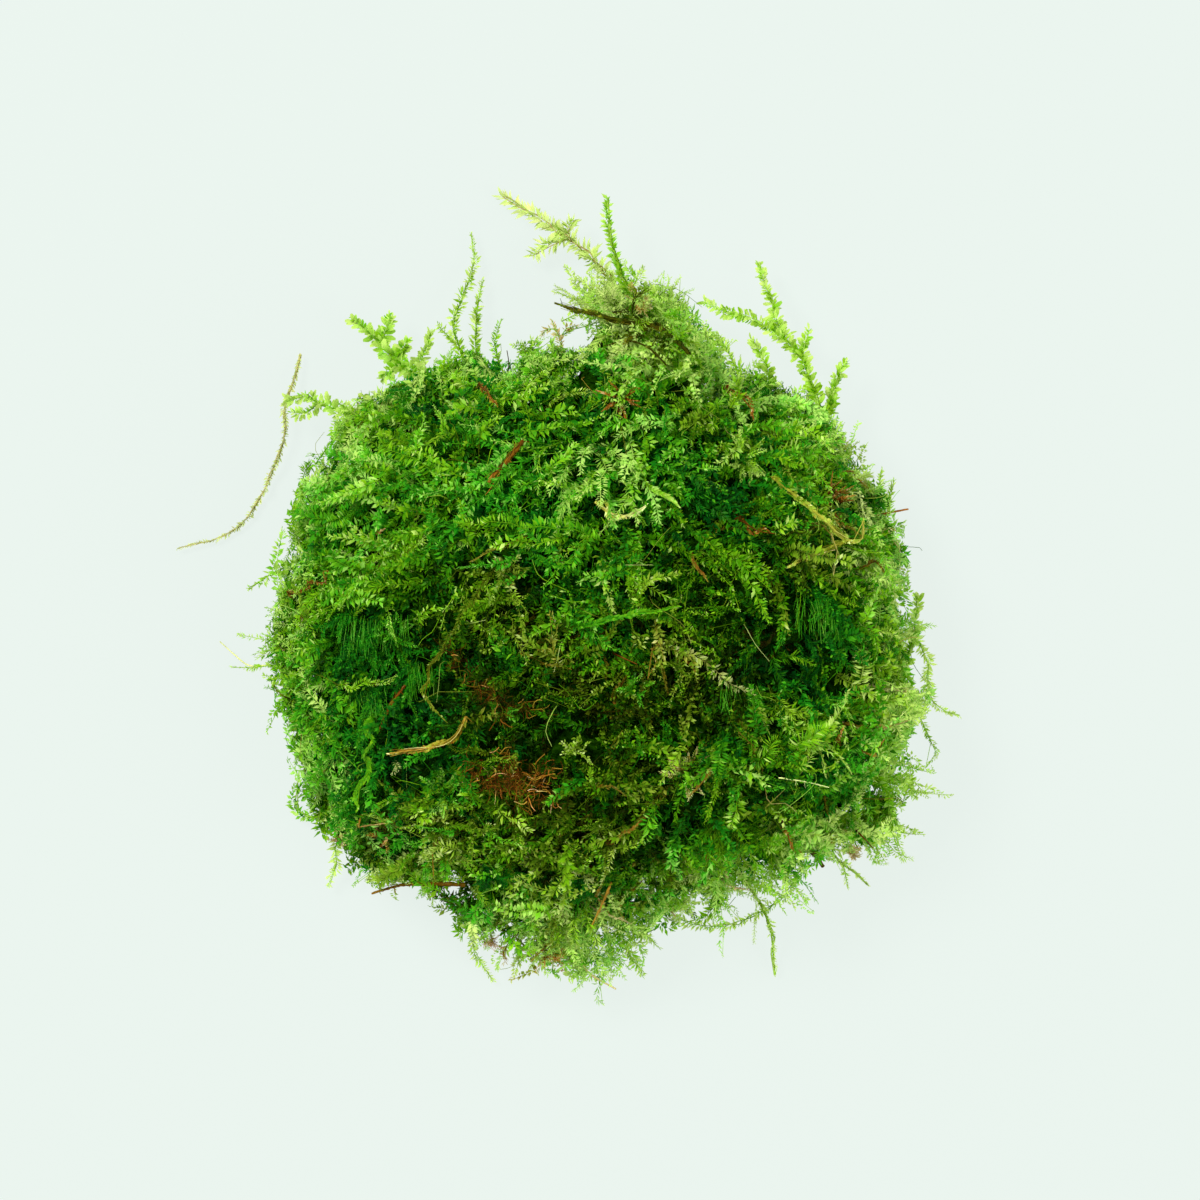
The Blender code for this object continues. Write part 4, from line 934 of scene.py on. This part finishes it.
# Each stray shoot: slot, style, tone, kind, what else differs from the style, the points from the root to
# the tip, and each side branch's points
STRAYS = {
    "long_pale_shoot": ("pale_moss", "thread", 1, 0.6,
        dict(leaf=(0.5, 0.18), stem_kind=0.72, stem_tone=1, stem=0.12, root_tone=0),
        ((-30.2, 29.8, 1), (-30.9, 27.2, 1.6), (-31.7, 24.8, 2.6), (-31.9, 21.3, 2), (-33.6, 16.8, 1.2),
         (-36.8, 12.1, 0.8), (-42.6, 10.2, 0.8))),
    "arm_shoot_northwest": ("green_moss", "feather", 0.87, 0.31, {},
        ((-20, 20.5, 7), (-23.5, 22.8, 5.6), (-27, 24.2, 4.6), (-29.2, 25.4, 4.3), (-31.6, 25.3, 4.2)),
        ((-25.4, 23.6, 5), (-26, 22, 5), (-25.2, 20.4, 5.2)),
        ((-28.2, 24.8, 4.4), (-29.6, 23.8, 4.2), (-31, 23.8, 4))),
    "lobed_frond_northwest": ("green_moss", "feather", 0.82, 0.29, dict(leaf=(1.1, 0.46), gap=0.17),
        ((-15, 22.5, 8), (-17.6, 26.6, 6.6), (-20, 28.9, 5.4), (-21.9, 30.5, 4.6), (-24.8, 33.3, 3.8)),
        ((-22, 30.8, 4.6), (-21.6, 32.2, 4.4), (-21, 33.6, 4.2)),
        ((-20.4, 29.4, 5.2), (-19.8, 30.2, 5.2), (-19.4, 31, 5)),
        ((-19.4, 28.6, 5.6), (-20.8, 28.2, 5), (-22, 27.2, 4.2))),
    "paddle_frond_northwest": ("green_moss", "feather", 0.84, 0.35, dict(angle=48),
        ((-15.4, 24, 5.5), (-17.9, 28, 4.2), (-17.6, 30, 3.7), (-17, 31.9, 3.4))),
    "tall_shoot_left": ("green_moss", "spire", 0.8, 0.37, {},
        ((-12.4, 25, 8.5), (-13.6, 29, 6.6), (-14.8, 32.2, 4.8), (-14, 35.2, 3.2), (-12.7, 39, 1.8),
         (-13, 42, 1.3)),
        ((-14.4, 30.4, 5.6), (-15.4, 31.6, 5.2), (-16.4, 32.8, 5))),
    "tall_shoot_middle": ("green_moss", "spire", 0.78, 0.38, {},
        ((-10.6, 25.5, 6), (-12.4, 29.6, 4.6), (-12.5, 33.1, 3), (-11.9, 37.3, 1.4))),
    "tall_shoot_right": ("green_moss", "spire", 0.7, 0.24, dict(leaf=(0.62, 0.22)),
        ((-8.4, 25, 5.4), (-10.4, 29.6, 4.2), (-10.6, 31.6, 3.6), (-9.9, 33.3, 3.2))),
    "peach_sprig_north": ("pale_moss", "plume", 0.9, 0.74,
        dict(leaf=(0.7, 0.24), bare=0.3, stem=0.1, stem_kind=0.25),
        ((-2.4, 26.4, 8.4), (-3.8, 29.6, 7.4), (-4, 31.2, 6.9), (-4.9, 33, 6.4)),
        ((-4, 31.4, 6.9), (-3.4, 32.2, 6.8), (-2.4, 32.6, 6.8)),
        ((-4.3, 32.2, 6.7), (-5.2, 32.2, 6.4), (-5.9, 31.6, 6))),
    "pale_feather_north": ("pale_moss", "plume", 0.93, 0.48,
        dict(leaf=(1.3, 0.32), gap=0.2, angle=56, stem_kind=0.76, stem_tone=0.88, stem=0.15, slim=0.8),
        ((4.4, 32, 6.6), (1.6, 36.6, 5.4), (-1, 39.6, 4.4), (-4, 42, 3.2), (-6.8, 43.9, 2.2),
         (-9.6, 45.7, 1.6)),
        ((-3.2, 41.4, 3.6), (-4.8, 41, 3), (-6.9, 39.9, 2)),
        ((-3, 41.2, 3.8), (-3.2, 42.4, 3.6), (-2.6, 43.2, 3.4))),
    "green_spike_north": ("green_moss", "spire", 0.76, 0.25,
        dict(leaf=(0.78, 0.3), gap=0.16, stem=0.26, stem_tone=0.78, hand=-0.3, slim=0.95),
        ((4.8, 33.2, 9.6), (2.4, 37, 8.8), (1.2, 40.6, 7.8), (0.6, 45.2, 6.6))),
    "left_sprig_north": ("pale_moss", "plume", 0.88, 0.5, dict(leaf=(0.7, 0.2)),
        ((2, 31.4, 10.6), (-1.2, 34.4, 9), (-4.6, 36, 7.6))),
    "long_frond_northeast": ("green_moss", "feather", 0.82, 0.33, {},
        ((22.6, 21.6, 9.6), (21.8, 25.2, 8.4), (20.4, 28.8, 7.4), (18.4, 31.6, 6.2), (17.2, 35, 4.6),
         (16, 38.9, 3.2)),
        ((18.6, 31.2, 6.4), (15.6, 33, 6.6), (12.8, 34, 6.4), (10.4, 34.9, 6)),
        ((20.6, 28.2, 7.6), (20.3, 30.2, 7.2), (20.9, 32, 6.8))),
    "short_frond_northeast": ("green_moss", "feather", 0.78, 0.33, {},
        ((17.4, 24, 8), (17, 27.4, 6.6), (16.2, 29.4, 6), (15.3, 31.2, 5.4))),
    "arching_stem_northeast": ("green_moss", "thread", 0.83, 0.31, dict(leaf=(0.8, 0.26), stem=0.13),
        ((13.2, 24.2, 15), (13.8, 26.8, 16.4), (13, 29.2, 16.2), (11.8, 31, 15.2), (10.2, 31.6, 14))),
    "sprig_northeast": ("green_moss", "feather", 0.76, 0.31, dict(angle=36),
        ((21.4, 20.6, 8), (23.1, 24.6, 6.6), (23.5, 26.5, 6), (24.6, 29, 5.2))),
    "sprig_east_inner": ("green_moss", "spire", 0.82, 0.33, dict(angle=40, root_tone=0),
        ((24.6, 12.6, 8), (27.6, 15.6, 7), (28.3, 18.1, 6.2))),
    "sprig_east_outer": ("green_moss", "spire", 0.8, 0.31, dict(angle=40, root_tone=0),
        ((25.6, 10.2, 5.6), (28.8, 13.8, 4.8), (29.4, 17, 4.2))),
    "bright_frond_east": ("green_moss", "feather", 0.82, 0.35, dict(angle=46),
        ((26.6, -4.6, 7.4), (30.4, -1.6, 6.2), (31.5, 1.6, 5.4), (32, 5.6, 4.6))),
    "trailing_frond_southeast": ("green_moss", "spire", 0.99, 0.35, dict(root_tone=0),
        ((26.4, 1.6, 11.4), (31, 1.4, 9), (32.8, -0.8, 6.8), (33.1, -4, 4.2), (34.2, -5.9, 2.4),
         (36.4, -6.7, 1.2))),
    "looping_shoot_southeast": ("green_moss", "thread", 0.8, 0.31, {},
        ((26.4, -5, 3), (31, -5, 2.4), (33, -8.4, 1.5), (34, -10.4, 1.2), (32.9, -11.6, 1))),
    "forked_stem_southeast": ("green_moss", "thread", 0.94, 0.36, dict(stem=0.2),
        ((20.2, -17.4, 5.4), (23.6, -20.8, 3.8), (25.4, -22.2, 2.8), (27.1, -23.7, 1.8)),
        ((24.4, -21.4, 3.3), (24.8, -22.8, 2.5), (25, -24, 1.9))),
    "long_stem_south": ("green_moss", "thread", 0.92, 0.34, dict(angle=34, stem=0.2, root_tone=-0.3),
        ((12, -20, 9), (15, -23.8, 6.4), (16.8, -26.8, 4), (17.5, -30, 1.8), (17.7, -32.9, 1))),
    "lace_stem_south": ("green_moss", "thread", 0.9, 0.34, dict(leaf=(0.6, 0.2), angle=55),
        ((20.8, -21.4, 2.6), (18.4, -25, 1.8), (14.4, -27.4, 1.3), (10.8, -28, 1.2), (7.4, -26.9, 1.5),
         (4.4, -25, 2.4))),
    "bottom_curl_southwest": ("green_moss", "thread", 0.84, 0.34, dict(leaf=(0.7, 0.22), angle=55),
        ((-10.6, -23.6, 4.6), (-12.8, -27.6, 3), (-12.6, -30.6, 1.8), (-10.8, -33.4, 1))),
    "drooping_shoot_southwest": ("green_moss", "spire", 0.97, 0.34, dict(root_tone=0),
        ((-22.6, -15.8, 5.8), (-26.2, -18.6, 4.2), (-26.6, -21.2, 2.6), (-27.4, -23.9, 1.5))),
    "curled_shoot_west": ("green_moss", "spire", 0.74, 0.18, dict(leaf=(0.7, 0.3), stem=0.16),
        ((-25, -15.6, 2.4), (-28.6, -17.2, 1.8), (-30.3, -16.4, 1.4), (-31, -14.8, 1.3),
         (-30.6, -13, 1.4))),
    "sprig_west": ("green_moss", "spire", 0.76, 0.31, {},
        ((-27.4, 9.8, 9.4), (-30.8, 8.6, 8.2), (-33, 7.6, 7.4), (-35.2, 6, 6.6))),
    "small_curl_southwest": ("green_moss", "thread", 0.72, 0.15, {},
        ((-19.6, -18.6, 2.8), (-22.6, -22, 2), (-24, -22.4, 1.6), (-24.9, -23.6, 1.2))),
    "bottom_sprig_south": ("green_moss", "spire", 0.84, 0.33, {},
        ((1.6, -27, 7), (2.9, -30.4, 5.6), (4.3, -32.5, 4.4))),
}
STRAY_LOOKS = dict(root_tone=-0.14, tip_tone=0.1, stem_kind=0.36, stem_tone=0.84, wave=0.08)
BRANCH_SIZE = 0.85
CORE_SIZE = 0.6
CORE_ROLLS = (-0.7, 0.7)
CORE_DARKER, MARGIN_PALER = 0.12, 0.05


def build_strays(material):
    """Each has a row of full leaves, and one of small darker leaves along its middle."""
    for seed, (node, (slot, style, tone, kind, changes, points, *branches)) in enumerate(STRAYS.items()):
        draw_from(100 + seed)
        growth = Growth()
        looks = {**STYLES[style], "tone": tone, "kind": kind, **STRAY_LOOKS, **changes}
        length, width = looks["leaf"]
        core = dict(looks, leaf=(CORE_SIZE * length, CORE_SIZE * width), gap=1.2 * looks["gap"], lift=0.7,
                    tone=tone - CORE_DARKER)
        if kind < OLIVE - 0.1:
            looks.update(kind=kind + MARGIN_PALER, tone=tone + 0.5 * MARGIN_PALER)
        shoot(growth, points, UP, **looks)
        shoot(growth, points, UP, roll=rng.choice(CORE_ROLLS), **core)
        small = dict(looks, leaf=(BRANCH_SIZE * length, BRANCH_SIZE * width), stem=0.09, root_tone=0.0)
        small_core = dict(core, stem=0.05, root_tone=0.0)
        for branch in branches:
            shoot(growth, branch, UP, **small)
            shoot(growth, branch, UP, roll=rng.choice(CORE_ROLLS), **small_core)
        growth.make(f"{node}_leaves", material, slot, node)


# ---------------------------------------------------------------- dead stems and rootlets

# Rooted ones: slot, radius, tone, kind, points
BARE_STEMS = {
    "pale_hair_west": ("tan_stem", 0.1, 0.86, 0.66,
        ((-28, -1.6, 5.4), (-33.4, -1.6, 3.8), (-35.4, -1.6, 2.6), (-36.8, -0.6, 1.6), (-38.4, 0.8, 0.9))),
    "brown_stem_east": ("brown_stem", 0.15, 0.5, 0.85,
        ((24.6, 12.9, 9.4), (27.6, 13.5, 8.8), (30.9, 14.1, 8.2))),
    "pale_stem_south": ("tan_stem", 0.15, 0.86, 0.76,
        ((-3.4, -28.4, 6.2), (-1.4, -32.2, 4.6), (1.6, -34.2, 3.4))),
    "bark_bit_southeast": ("dark_twig", 0.33, 0.22, 0.78,
        ((20.6, -19.6, 7.2), (21.8, -20.8, 6.6), (22.4, -21.8, 6))),
}

# Laid ones, seen from above: slot, radius, tone, kind, how many loose fibres go along, and the lines
LAID_STEMS = {
    "brown_stem_southwest": ("brown_stem", 0.2, 0.42, 0.8, 3,
        ((-13.4, -23.3), (-16.9, -23.2), (-19.8, -23.4), (-22.8, -24.3))),
    "dark_twig_north": ("dark_twig", 0.17, 0.22, 0.72, 26,
        ((8.8, 29.4), (7, 31.4), (4.6, 32.4), (1.8, 32.8), (-1.4, 33.6), (-4.5, 34.6))),
    "thin_twig_north": ("dark_twig", 0.08, 0.2, 0.72, 6,
        ((6.6, 28.2), (4.8, 30), (2.8, 30.7), (0.4, 30.2))),
    "bark_chip": ("brown_stem", 0.24, 0.46, 0.82, 20, ((-7.6, 20.7), (-9.6, 18.2), (-11, 16.6))),
    "orange_stem": ("rust_stem", 0.13, 0.58, 0.78, 14,
        ((-13.1, -6.4), (-14.2, -8.3), (-16.2, -9.4), (-20.7, -10.1))),
    "hooked_stem": ("tan_stem", 0.17, 0.62, 0.68, 8,
        ((17, 17.2), (19.4, 15.2), (22, 13), (24.4, 10.9), (26, 11.2), (26, 12.8)),
        ((24.5, 10.9), (21.4, 9.6), (18.5, 8.3))),
    "curled_tendril": ("tan_stem", 0.09, 0.82, 0.7, 0,
        ((-0.5, 14.6), (0.6, 13.9), (2, 13.1), (3.4, 13.5), (4.6, 14.4))),
    "pale_stem_southeast": ("tan_stem", 0.07, 0.92, 0.62, 1, ((17.6, -12.5), (20.2, -12.9), (22.6, -13.5))),
    "pink_stem_south": ("rust_stem", 0.13, 0.62, 0.8, 3, ((1.1, -23), (0.2, -25.2), (-0.9, -27.6))),
    "red_stem_west": ("rust_stem", 0.12, 0.46, 0.85, 4, ((-19.2, -3.4), (-20.6, -5.4), (-21.9, -8))),
}
FIBRE_SPREAD = 0.9
LEAFY_STEMS = ("hooked_stem", "curled_tendril", "orange_stem", "dark_twig_north")

# Tangles of rootlets: slot, count, radius, tone, kind, how far they stray, and the lines they follow
TANGLES = {
    "dark_root_strand": ("dark_twig", 260, 0.026, 0.17, 0.84, 0.34,
        ((-15.4, 0.6), (-13.4, -1.8), (-11.2, -3.9), (-7.8, -5.6), (-4.8, -6.2)),
        ((-11.6, -3.6), (-10.2, -5.4), (-9.6, -7.2))),
    "rust_root_knot": ("rust_stem", 440, 0.03, 0.33, 0.86, 0.42,
        ((-12.8, -11.6), (-10.4, -13.4), (-8.2, -12.6), (-6, -12.4), (-4, -11.2)),
        ((-10.5, -13.2), (-8.8, -11), (-9.6, -9.4)),
        ((-8.3, -12.6), (-7.2, -14.6), (-8.6, -16)),
        ((-6.1, -12.4), (-5.4, -14.2), (-3.8, -14.9))),
}
ROOTLET_STEP = 0.36


def on_node(node, line, radius):
    """A line seen from above, laid along the middle of a CAD stem."""
    stem = Surface(node)
    plan, _ = resample([(x, y, 0) for x, y in line], 0.8)
    heights = [stem.height(x, y) for x, y, _ in plan]
    known = [i for i, height in enumerate(heights) if height is not None]
    plan[:, 2] = np.interp(np.arange(len(plan)), known, [heights[i] for i in known]) - radius
    return plan


def build_stems(surface, material):
    """Stems and twigs are rough tubes with fibres along them, and tangles are short winding rootlets."""
    for node, (slot, radius, tone, kind, points) in BARE_STEMS.items():
        growth = Growth()
        hair(growth, points, radius, tone, kind, rough=0.12, sides=6, step=0.4)
        growth.make(f"{node}_bark", material, slot, node)
    for node, (slot, radius, tone, kind, fibres, *lines) in LAID_STEMS.items():
        growth = Growth()
        for line in lines:
            path = on_node(node, line, radius)
            hair(growth, path, radius, tone, kind, rough=0.2, sides=7, step=0.3)
            if node in LEAFY_STEMS:
                shoot(growth, path, UP, tone=tone, kind=kind - 0.08, **scaled("strap", 1.1))
            for _ in range(len(path) // 2):  # scraps of old leaf that cling to it
                start = path[rng.integers(len(path) - 1)]
                way = unit(any_way() + (0, 0, 0.5))
                hair(growth, (start, start + way * 0.4, start + way * rng.uniform(0.5, 0.9)), 0.3 * radius,
                     tone + vary(0.1), kind)
            for _ in range(fibres):
                first = int(rng.integers(0, len(path) * 2 // 3))
                last = int(rng.integers(first + len(path) // 4, len(path)))
                swing = rng.normal(0, 1, (3, 3)) * FIBRE_SPREAD * radius
                share = np.linspace(0, 1, last - first + 1)[:, None]
                away = swing[0] * (1 - share) + swing[1] * share + swing[2] * np.sin(share * 5)
                hair(growth, path[first:last + 1] + away, rng.uniform(0.03, 0.06), tone + vary(0.12),
                     kind + vary(0.05), rough=0.1)
        growth.make(f"{node}_bark", material, slot, node)
    for node, (slot, count, radius, tone, kind, stray, *lines) in TANGLES.items():
        growth = Growth()
        routes = [on_node(node, line, 0.3) for line in lines]
        for _ in range(count):
            route = routes[int(rng.integers(len(routes)))] if rng.random() < 0.7 else routes[0]
            spot = route[rng.integers(len(route) - 1)] + (*rng.normal(0, stray, 2), vary(0.4))
            turn, points = rng.uniform(0, 2 * math.pi), [spot]
            bend = vary(0.3)
            for _ in range(int(rng.integers(2, 5))):
                turn += bend + vary(0.3)
                spot = spot + ROOTLET_STEP * level_way(turn) + (0, 0, vary(0.2))
                level = surface.height(spot[0], spot[1])
                if level is not None:
                    spot[2] = np.clip(spot[2], level + 0.8, level + 2.6)
                points.append(spot)
            # Painted highlights: a few rootlets are painted paler as glints, and made thicker.
            lit = 0.32 * (rng.random() < 0.14)  # paler and thicker, and so seen
            hair(growth, points, (radius + 0.06 * lit) * rng.uniform(0.6, 1.5),
                 tone + vary(0.12) + lit, kind - 0.12 * lit + vary(0.04), rough=0.1, step=ROOTLET_STEP)
        growth.make(f"{node}_rootlets", material, slot, node)


# ---------------------------------------------------------------- materials

# Each kind's shades from dark to bright, at even steps
PALETTE = {
    EMERALD: ((0.0002, 0.015, 0.002), (0.001, 0.08, 0.007), (0.01, 0.22, 0.006), (0.08, 0.48, 0.012),
              (0.42, 0.78, 0.14)),
    LIME: ((0.0004, 0.017, 0.0001), (0.005, 0.09, 0.0002), (0.07, 0.27, 0.0006), (0.29, 0.56, 0.009),
           (0.64, 0.84, 0.2)),
    OLIVE: ((0.004, 0.008, 0.0002), (0.03, 0.055, 0.001), (0.13, 0.19, 0.006), (0.33, 0.45, 0.05),
            (0.68, 0.78, 0.3)),
    BROWN: ((0.006, 0.002, 0.0003), (0.035, 0.01, 0.001), (0.15, 0.036, 0.003), (0.44, 0.17, 0.02),
            (0.74, 0.53, 0.27)),
}
# The thatch's near-black shades: old shoots, darkened as painted shade inside the clump
THATCH_SHADES = ((0.0005, 0.005, 0.0001), (0.01, 0.045, 0.0005))


def new_material(name):
    """Returns the material, its node tree and its shader."""
    material = bpy.data.materials.new(name)
    material.use_nodes = True
    return material, material.node_tree, material.node_tree.nodes["Principled BSDF"]


def put(node, values):
    """Sets the node's sockets. A value that is another node's socket is linked. Returns the node."""
    for socket, value in values.items():
        if isinstance(value, bpy.types.NodeSocket):
            node.id_data.links.new(value, node.inputs[socket])
        else:
            node.inputs[socket].default_value = value
    return node


def add_node(tree, kind, values):
    return put(tree.nodes.new(f"ShaderNode{kind}"), values)


def ramp(tree, share, shades, first=0.0, last=1.0):
    """The shades, spread over a socket's values from first to last. Returns the colour's socket."""
    node = add_node(tree, "ValToRGB", {"Fac": share})
    stops = node.color_ramp.elements
    while len(stops) < len(shades):
        stops.new(0.5)
    for i, (stop, shade) in enumerate(zip(stops, shades)):
        stop.position = first + (last - first) * i / (len(shades) - 1)
        stop.color = (*shade, 1)
    return node.outputs["Color"]


def mix_colours(tree, share, one, other, blend="MIX"):
    """Mixes two colours' sockets. Returns the mix's socket."""
    mix = tree.nodes.new("ShaderNodeMix")
    mix.data_type = "RGBA"
    mix.blend_type = blend
    put(mix, {"Factor": share, "A": one, "B": other})
    return mix.outputs["Result"]


def palette_colour(tree):
    """Nodes that read the palette at the UV map's place. Returns the colour's socket."""
    uv = tree.nodes.new("ShaderNodeUVMap")
    uv.uv_map = UV_MAP
    split = add_node(tree, "SeparateXYZ", {"Vector": uv.outputs["UV"]})
    tone, kind_here = split.outputs["X"], split.outputs["Y"]
    kinds = list(PALETTE)
    colour = ramp(tree, tone, PALETTE[kinds[0]])
    for last_kind, kind in zip(kinds, kinds[1:]):
        share = add_node(tree, "MapRange", {"Value": kind_here, "From Min": last_kind, "From Max": kind})
        colour = mix_colours(tree, share.outputs["Result"], colour, ramp(tree, tone, PALETTE[kind]))
    return colour


def noise(tree, scale, detail, low, high):
    """A noise of a scale per metre, brought between two values. Returns its socket and the raw noise's."""
    where = tree.nodes.new("ShaderNodeTexCoord").outputs["Object"]
    raw = add_node(tree, "TexNoise", {"Vector": where, "Scale": scale, "Detail": detail}).outputs["Fac"]
    level = add_node(tree, "MapRange", {"Value": raw, "From Min": 0.3, "From Max": 0.7,
                                        "To Min": low, "To Max": high})
    return level.outputs["Result"], raw


def roughen(tree, height, strength, distance):
    bump = add_node(tree, "Bump", {"Height": height, "Strength": strength, "Distance": distance})
    put(tree.nodes["Principled BSDF"], {"Normal": bump.outputs["Normal"]})


def plant_material(name, gloss, rough, through, grain, depth):
    """Moss or old stem: palette colours, mottled and grained, and wet. through is how see-through it is."""
    material, tree, shader = new_material(name)
    mottle, _ = noise(tree, scale=900, detail=3, low=0.8, high=1.2)
    colour = mix_colours(tree, 1, palette_colour(tree), mottle, "MULTIPLY")
    shine, _ = noise(tree, 1500, 2, *rough)
    put(shader, {"Base Color": colour, "Roughness": shine, "Specular IOR Level": gloss,
                 "Specular Tint": (0.6, 1, 0.15, 1), "Coat Weight": 0.02, "Coat Roughness": 0.16})
    _, ribs = noise(tree, scale=grain, detail=2, low=0, high=1)
    roughen(tree, ribs, strength=0.4, distance=depth)
    if through:
        glow = add_node(tree, "BsdfTranslucent", {"Color": colour})
        blend = add_node(tree, "MixShader", {"Fac": through, 1: shader.outputs["BSDF"],
                                             2: glow.outputs["BSDF"]})
        put(tree.nodes["Material Output"], {"Surface": blend.outputs["Shader"]})
    return material


def thatch_material():
    material, tree, shader = new_material("old_thatch")
    rough, strands = noise(tree, scale=1600, detail=6, low=0.7, high=0.95)
    colour = ramp(tree, strands, THATCH_SHADES, first=0.35, last=0.7)
    put(shader, {"Base Color": colour, "Roughness": rough, "Specular IOR Level": 0})
    roughen(tree, strands, strength=0.9, distance=0.0008)
    return material


# ---------------------------------------------------------------- table, light and camera

TABLE_COLOUR = (0.03, 0.033, 0.031, 1)
TABLE_GLOW, GLOW_STRENGTH = (0.831, 0.913, 0.863, 1), 0.922
SKY_STRENGTH = 0.35
# Each light's place and size in metres, and its power
LIGHTS = {"key": ((-0.45, 0.4, 0.85), 0.35, 16.5), "fill": ((0.6, -0.3, 0.7), 0.6, 8.5)}


def build_stage():
    mesh = bpy.data.meshes.new("table")
    mesh.from_pydata([(-2, -2, 0), (2, -2, 0), (2, 2, 0), (-2, 2, 0)], [], [(0, 1, 2, 3)])
    material, _tree, shader = new_material("lit_table")
    put(shader, {"Base Color": TABLE_COLOUR, "Roughness": 0.9, "Specular IOR Level": 0,
                 "Emission Color": TABLE_GLOW, "Emission Strength": GLOW_STRENGTH})
    mesh.materials.append(material)
    table = add_object("table", mesh)

    world = bpy.data.worlds.new("sky")
    bpy.context.scene.world = world
    world.use_nodes = True
    put(world.node_tree.nodes["Background"], {"Color": (1, 1, 1, 1), "Strength": SKY_STRENGTH})

    for name, (place, size, power) in LIGHTS.items():
        light = bpy.data.lights.new(name, "AREA")
        light.size = size
        light.energy = power
        lamp = add_object(name, light)
        lamp.location = place
        lamp.rotation_euler = Vector(place).to_track_quat("Z", "Y").to_euler()

    camera = bpy.data.cameras.new("camera")
    camera.sensor_width = 36
    camera.lens = camera.sensor_width * CAMERA_DISTANCE / PHOTO_WIDTH
    camera.clip_start = 0.05
    holder = add_object("camera", camera)
    holder.location = (0, CAMERA_Y * MM, CAMERA_HEIGHT * MM)
    bpy.context.scene.camera = holder
    bpy.context.scene.view_settings.view_transform = "Standard"
    bpy.context.scene.view_settings.look = "None"


def build_moss():
    surface = Surface("moss_mat")
    rim = Rim(surface)
    moss = plant_material("moss_leaves", 0.12, rough=(0.28, 0.55), through=0.5, grain=6000, depth=1e-4)
    sprigs = plant_material("sprig_leaves", 0.12, rough=(0.3, 0.55), through=0.6, grain=6000, depth=1e-4)
    bark = plant_material("old_stems", 0.06, rough=(0.5, 0.85), through=0, grain=3500, depth=2e-4)
    cushion = Cushion(surface, rim)
    for seed, step in enumerate((cushion.felt, cushion.locks, cushion.pools, cushion.underside)):
        draw_from(20 + seed)
        step()
    cushion.make(moss)
    build_thatch(surface, thatch_material())
    draw_from(30)
    build_rim_sprigs(surface, rim, sprigs)
    draw_from(40)
    build_features(surface, moss)
    build_strays(sprigs)
    draw_from(60)
    build_stems(surface, bark)


build_moss()
build_stage()
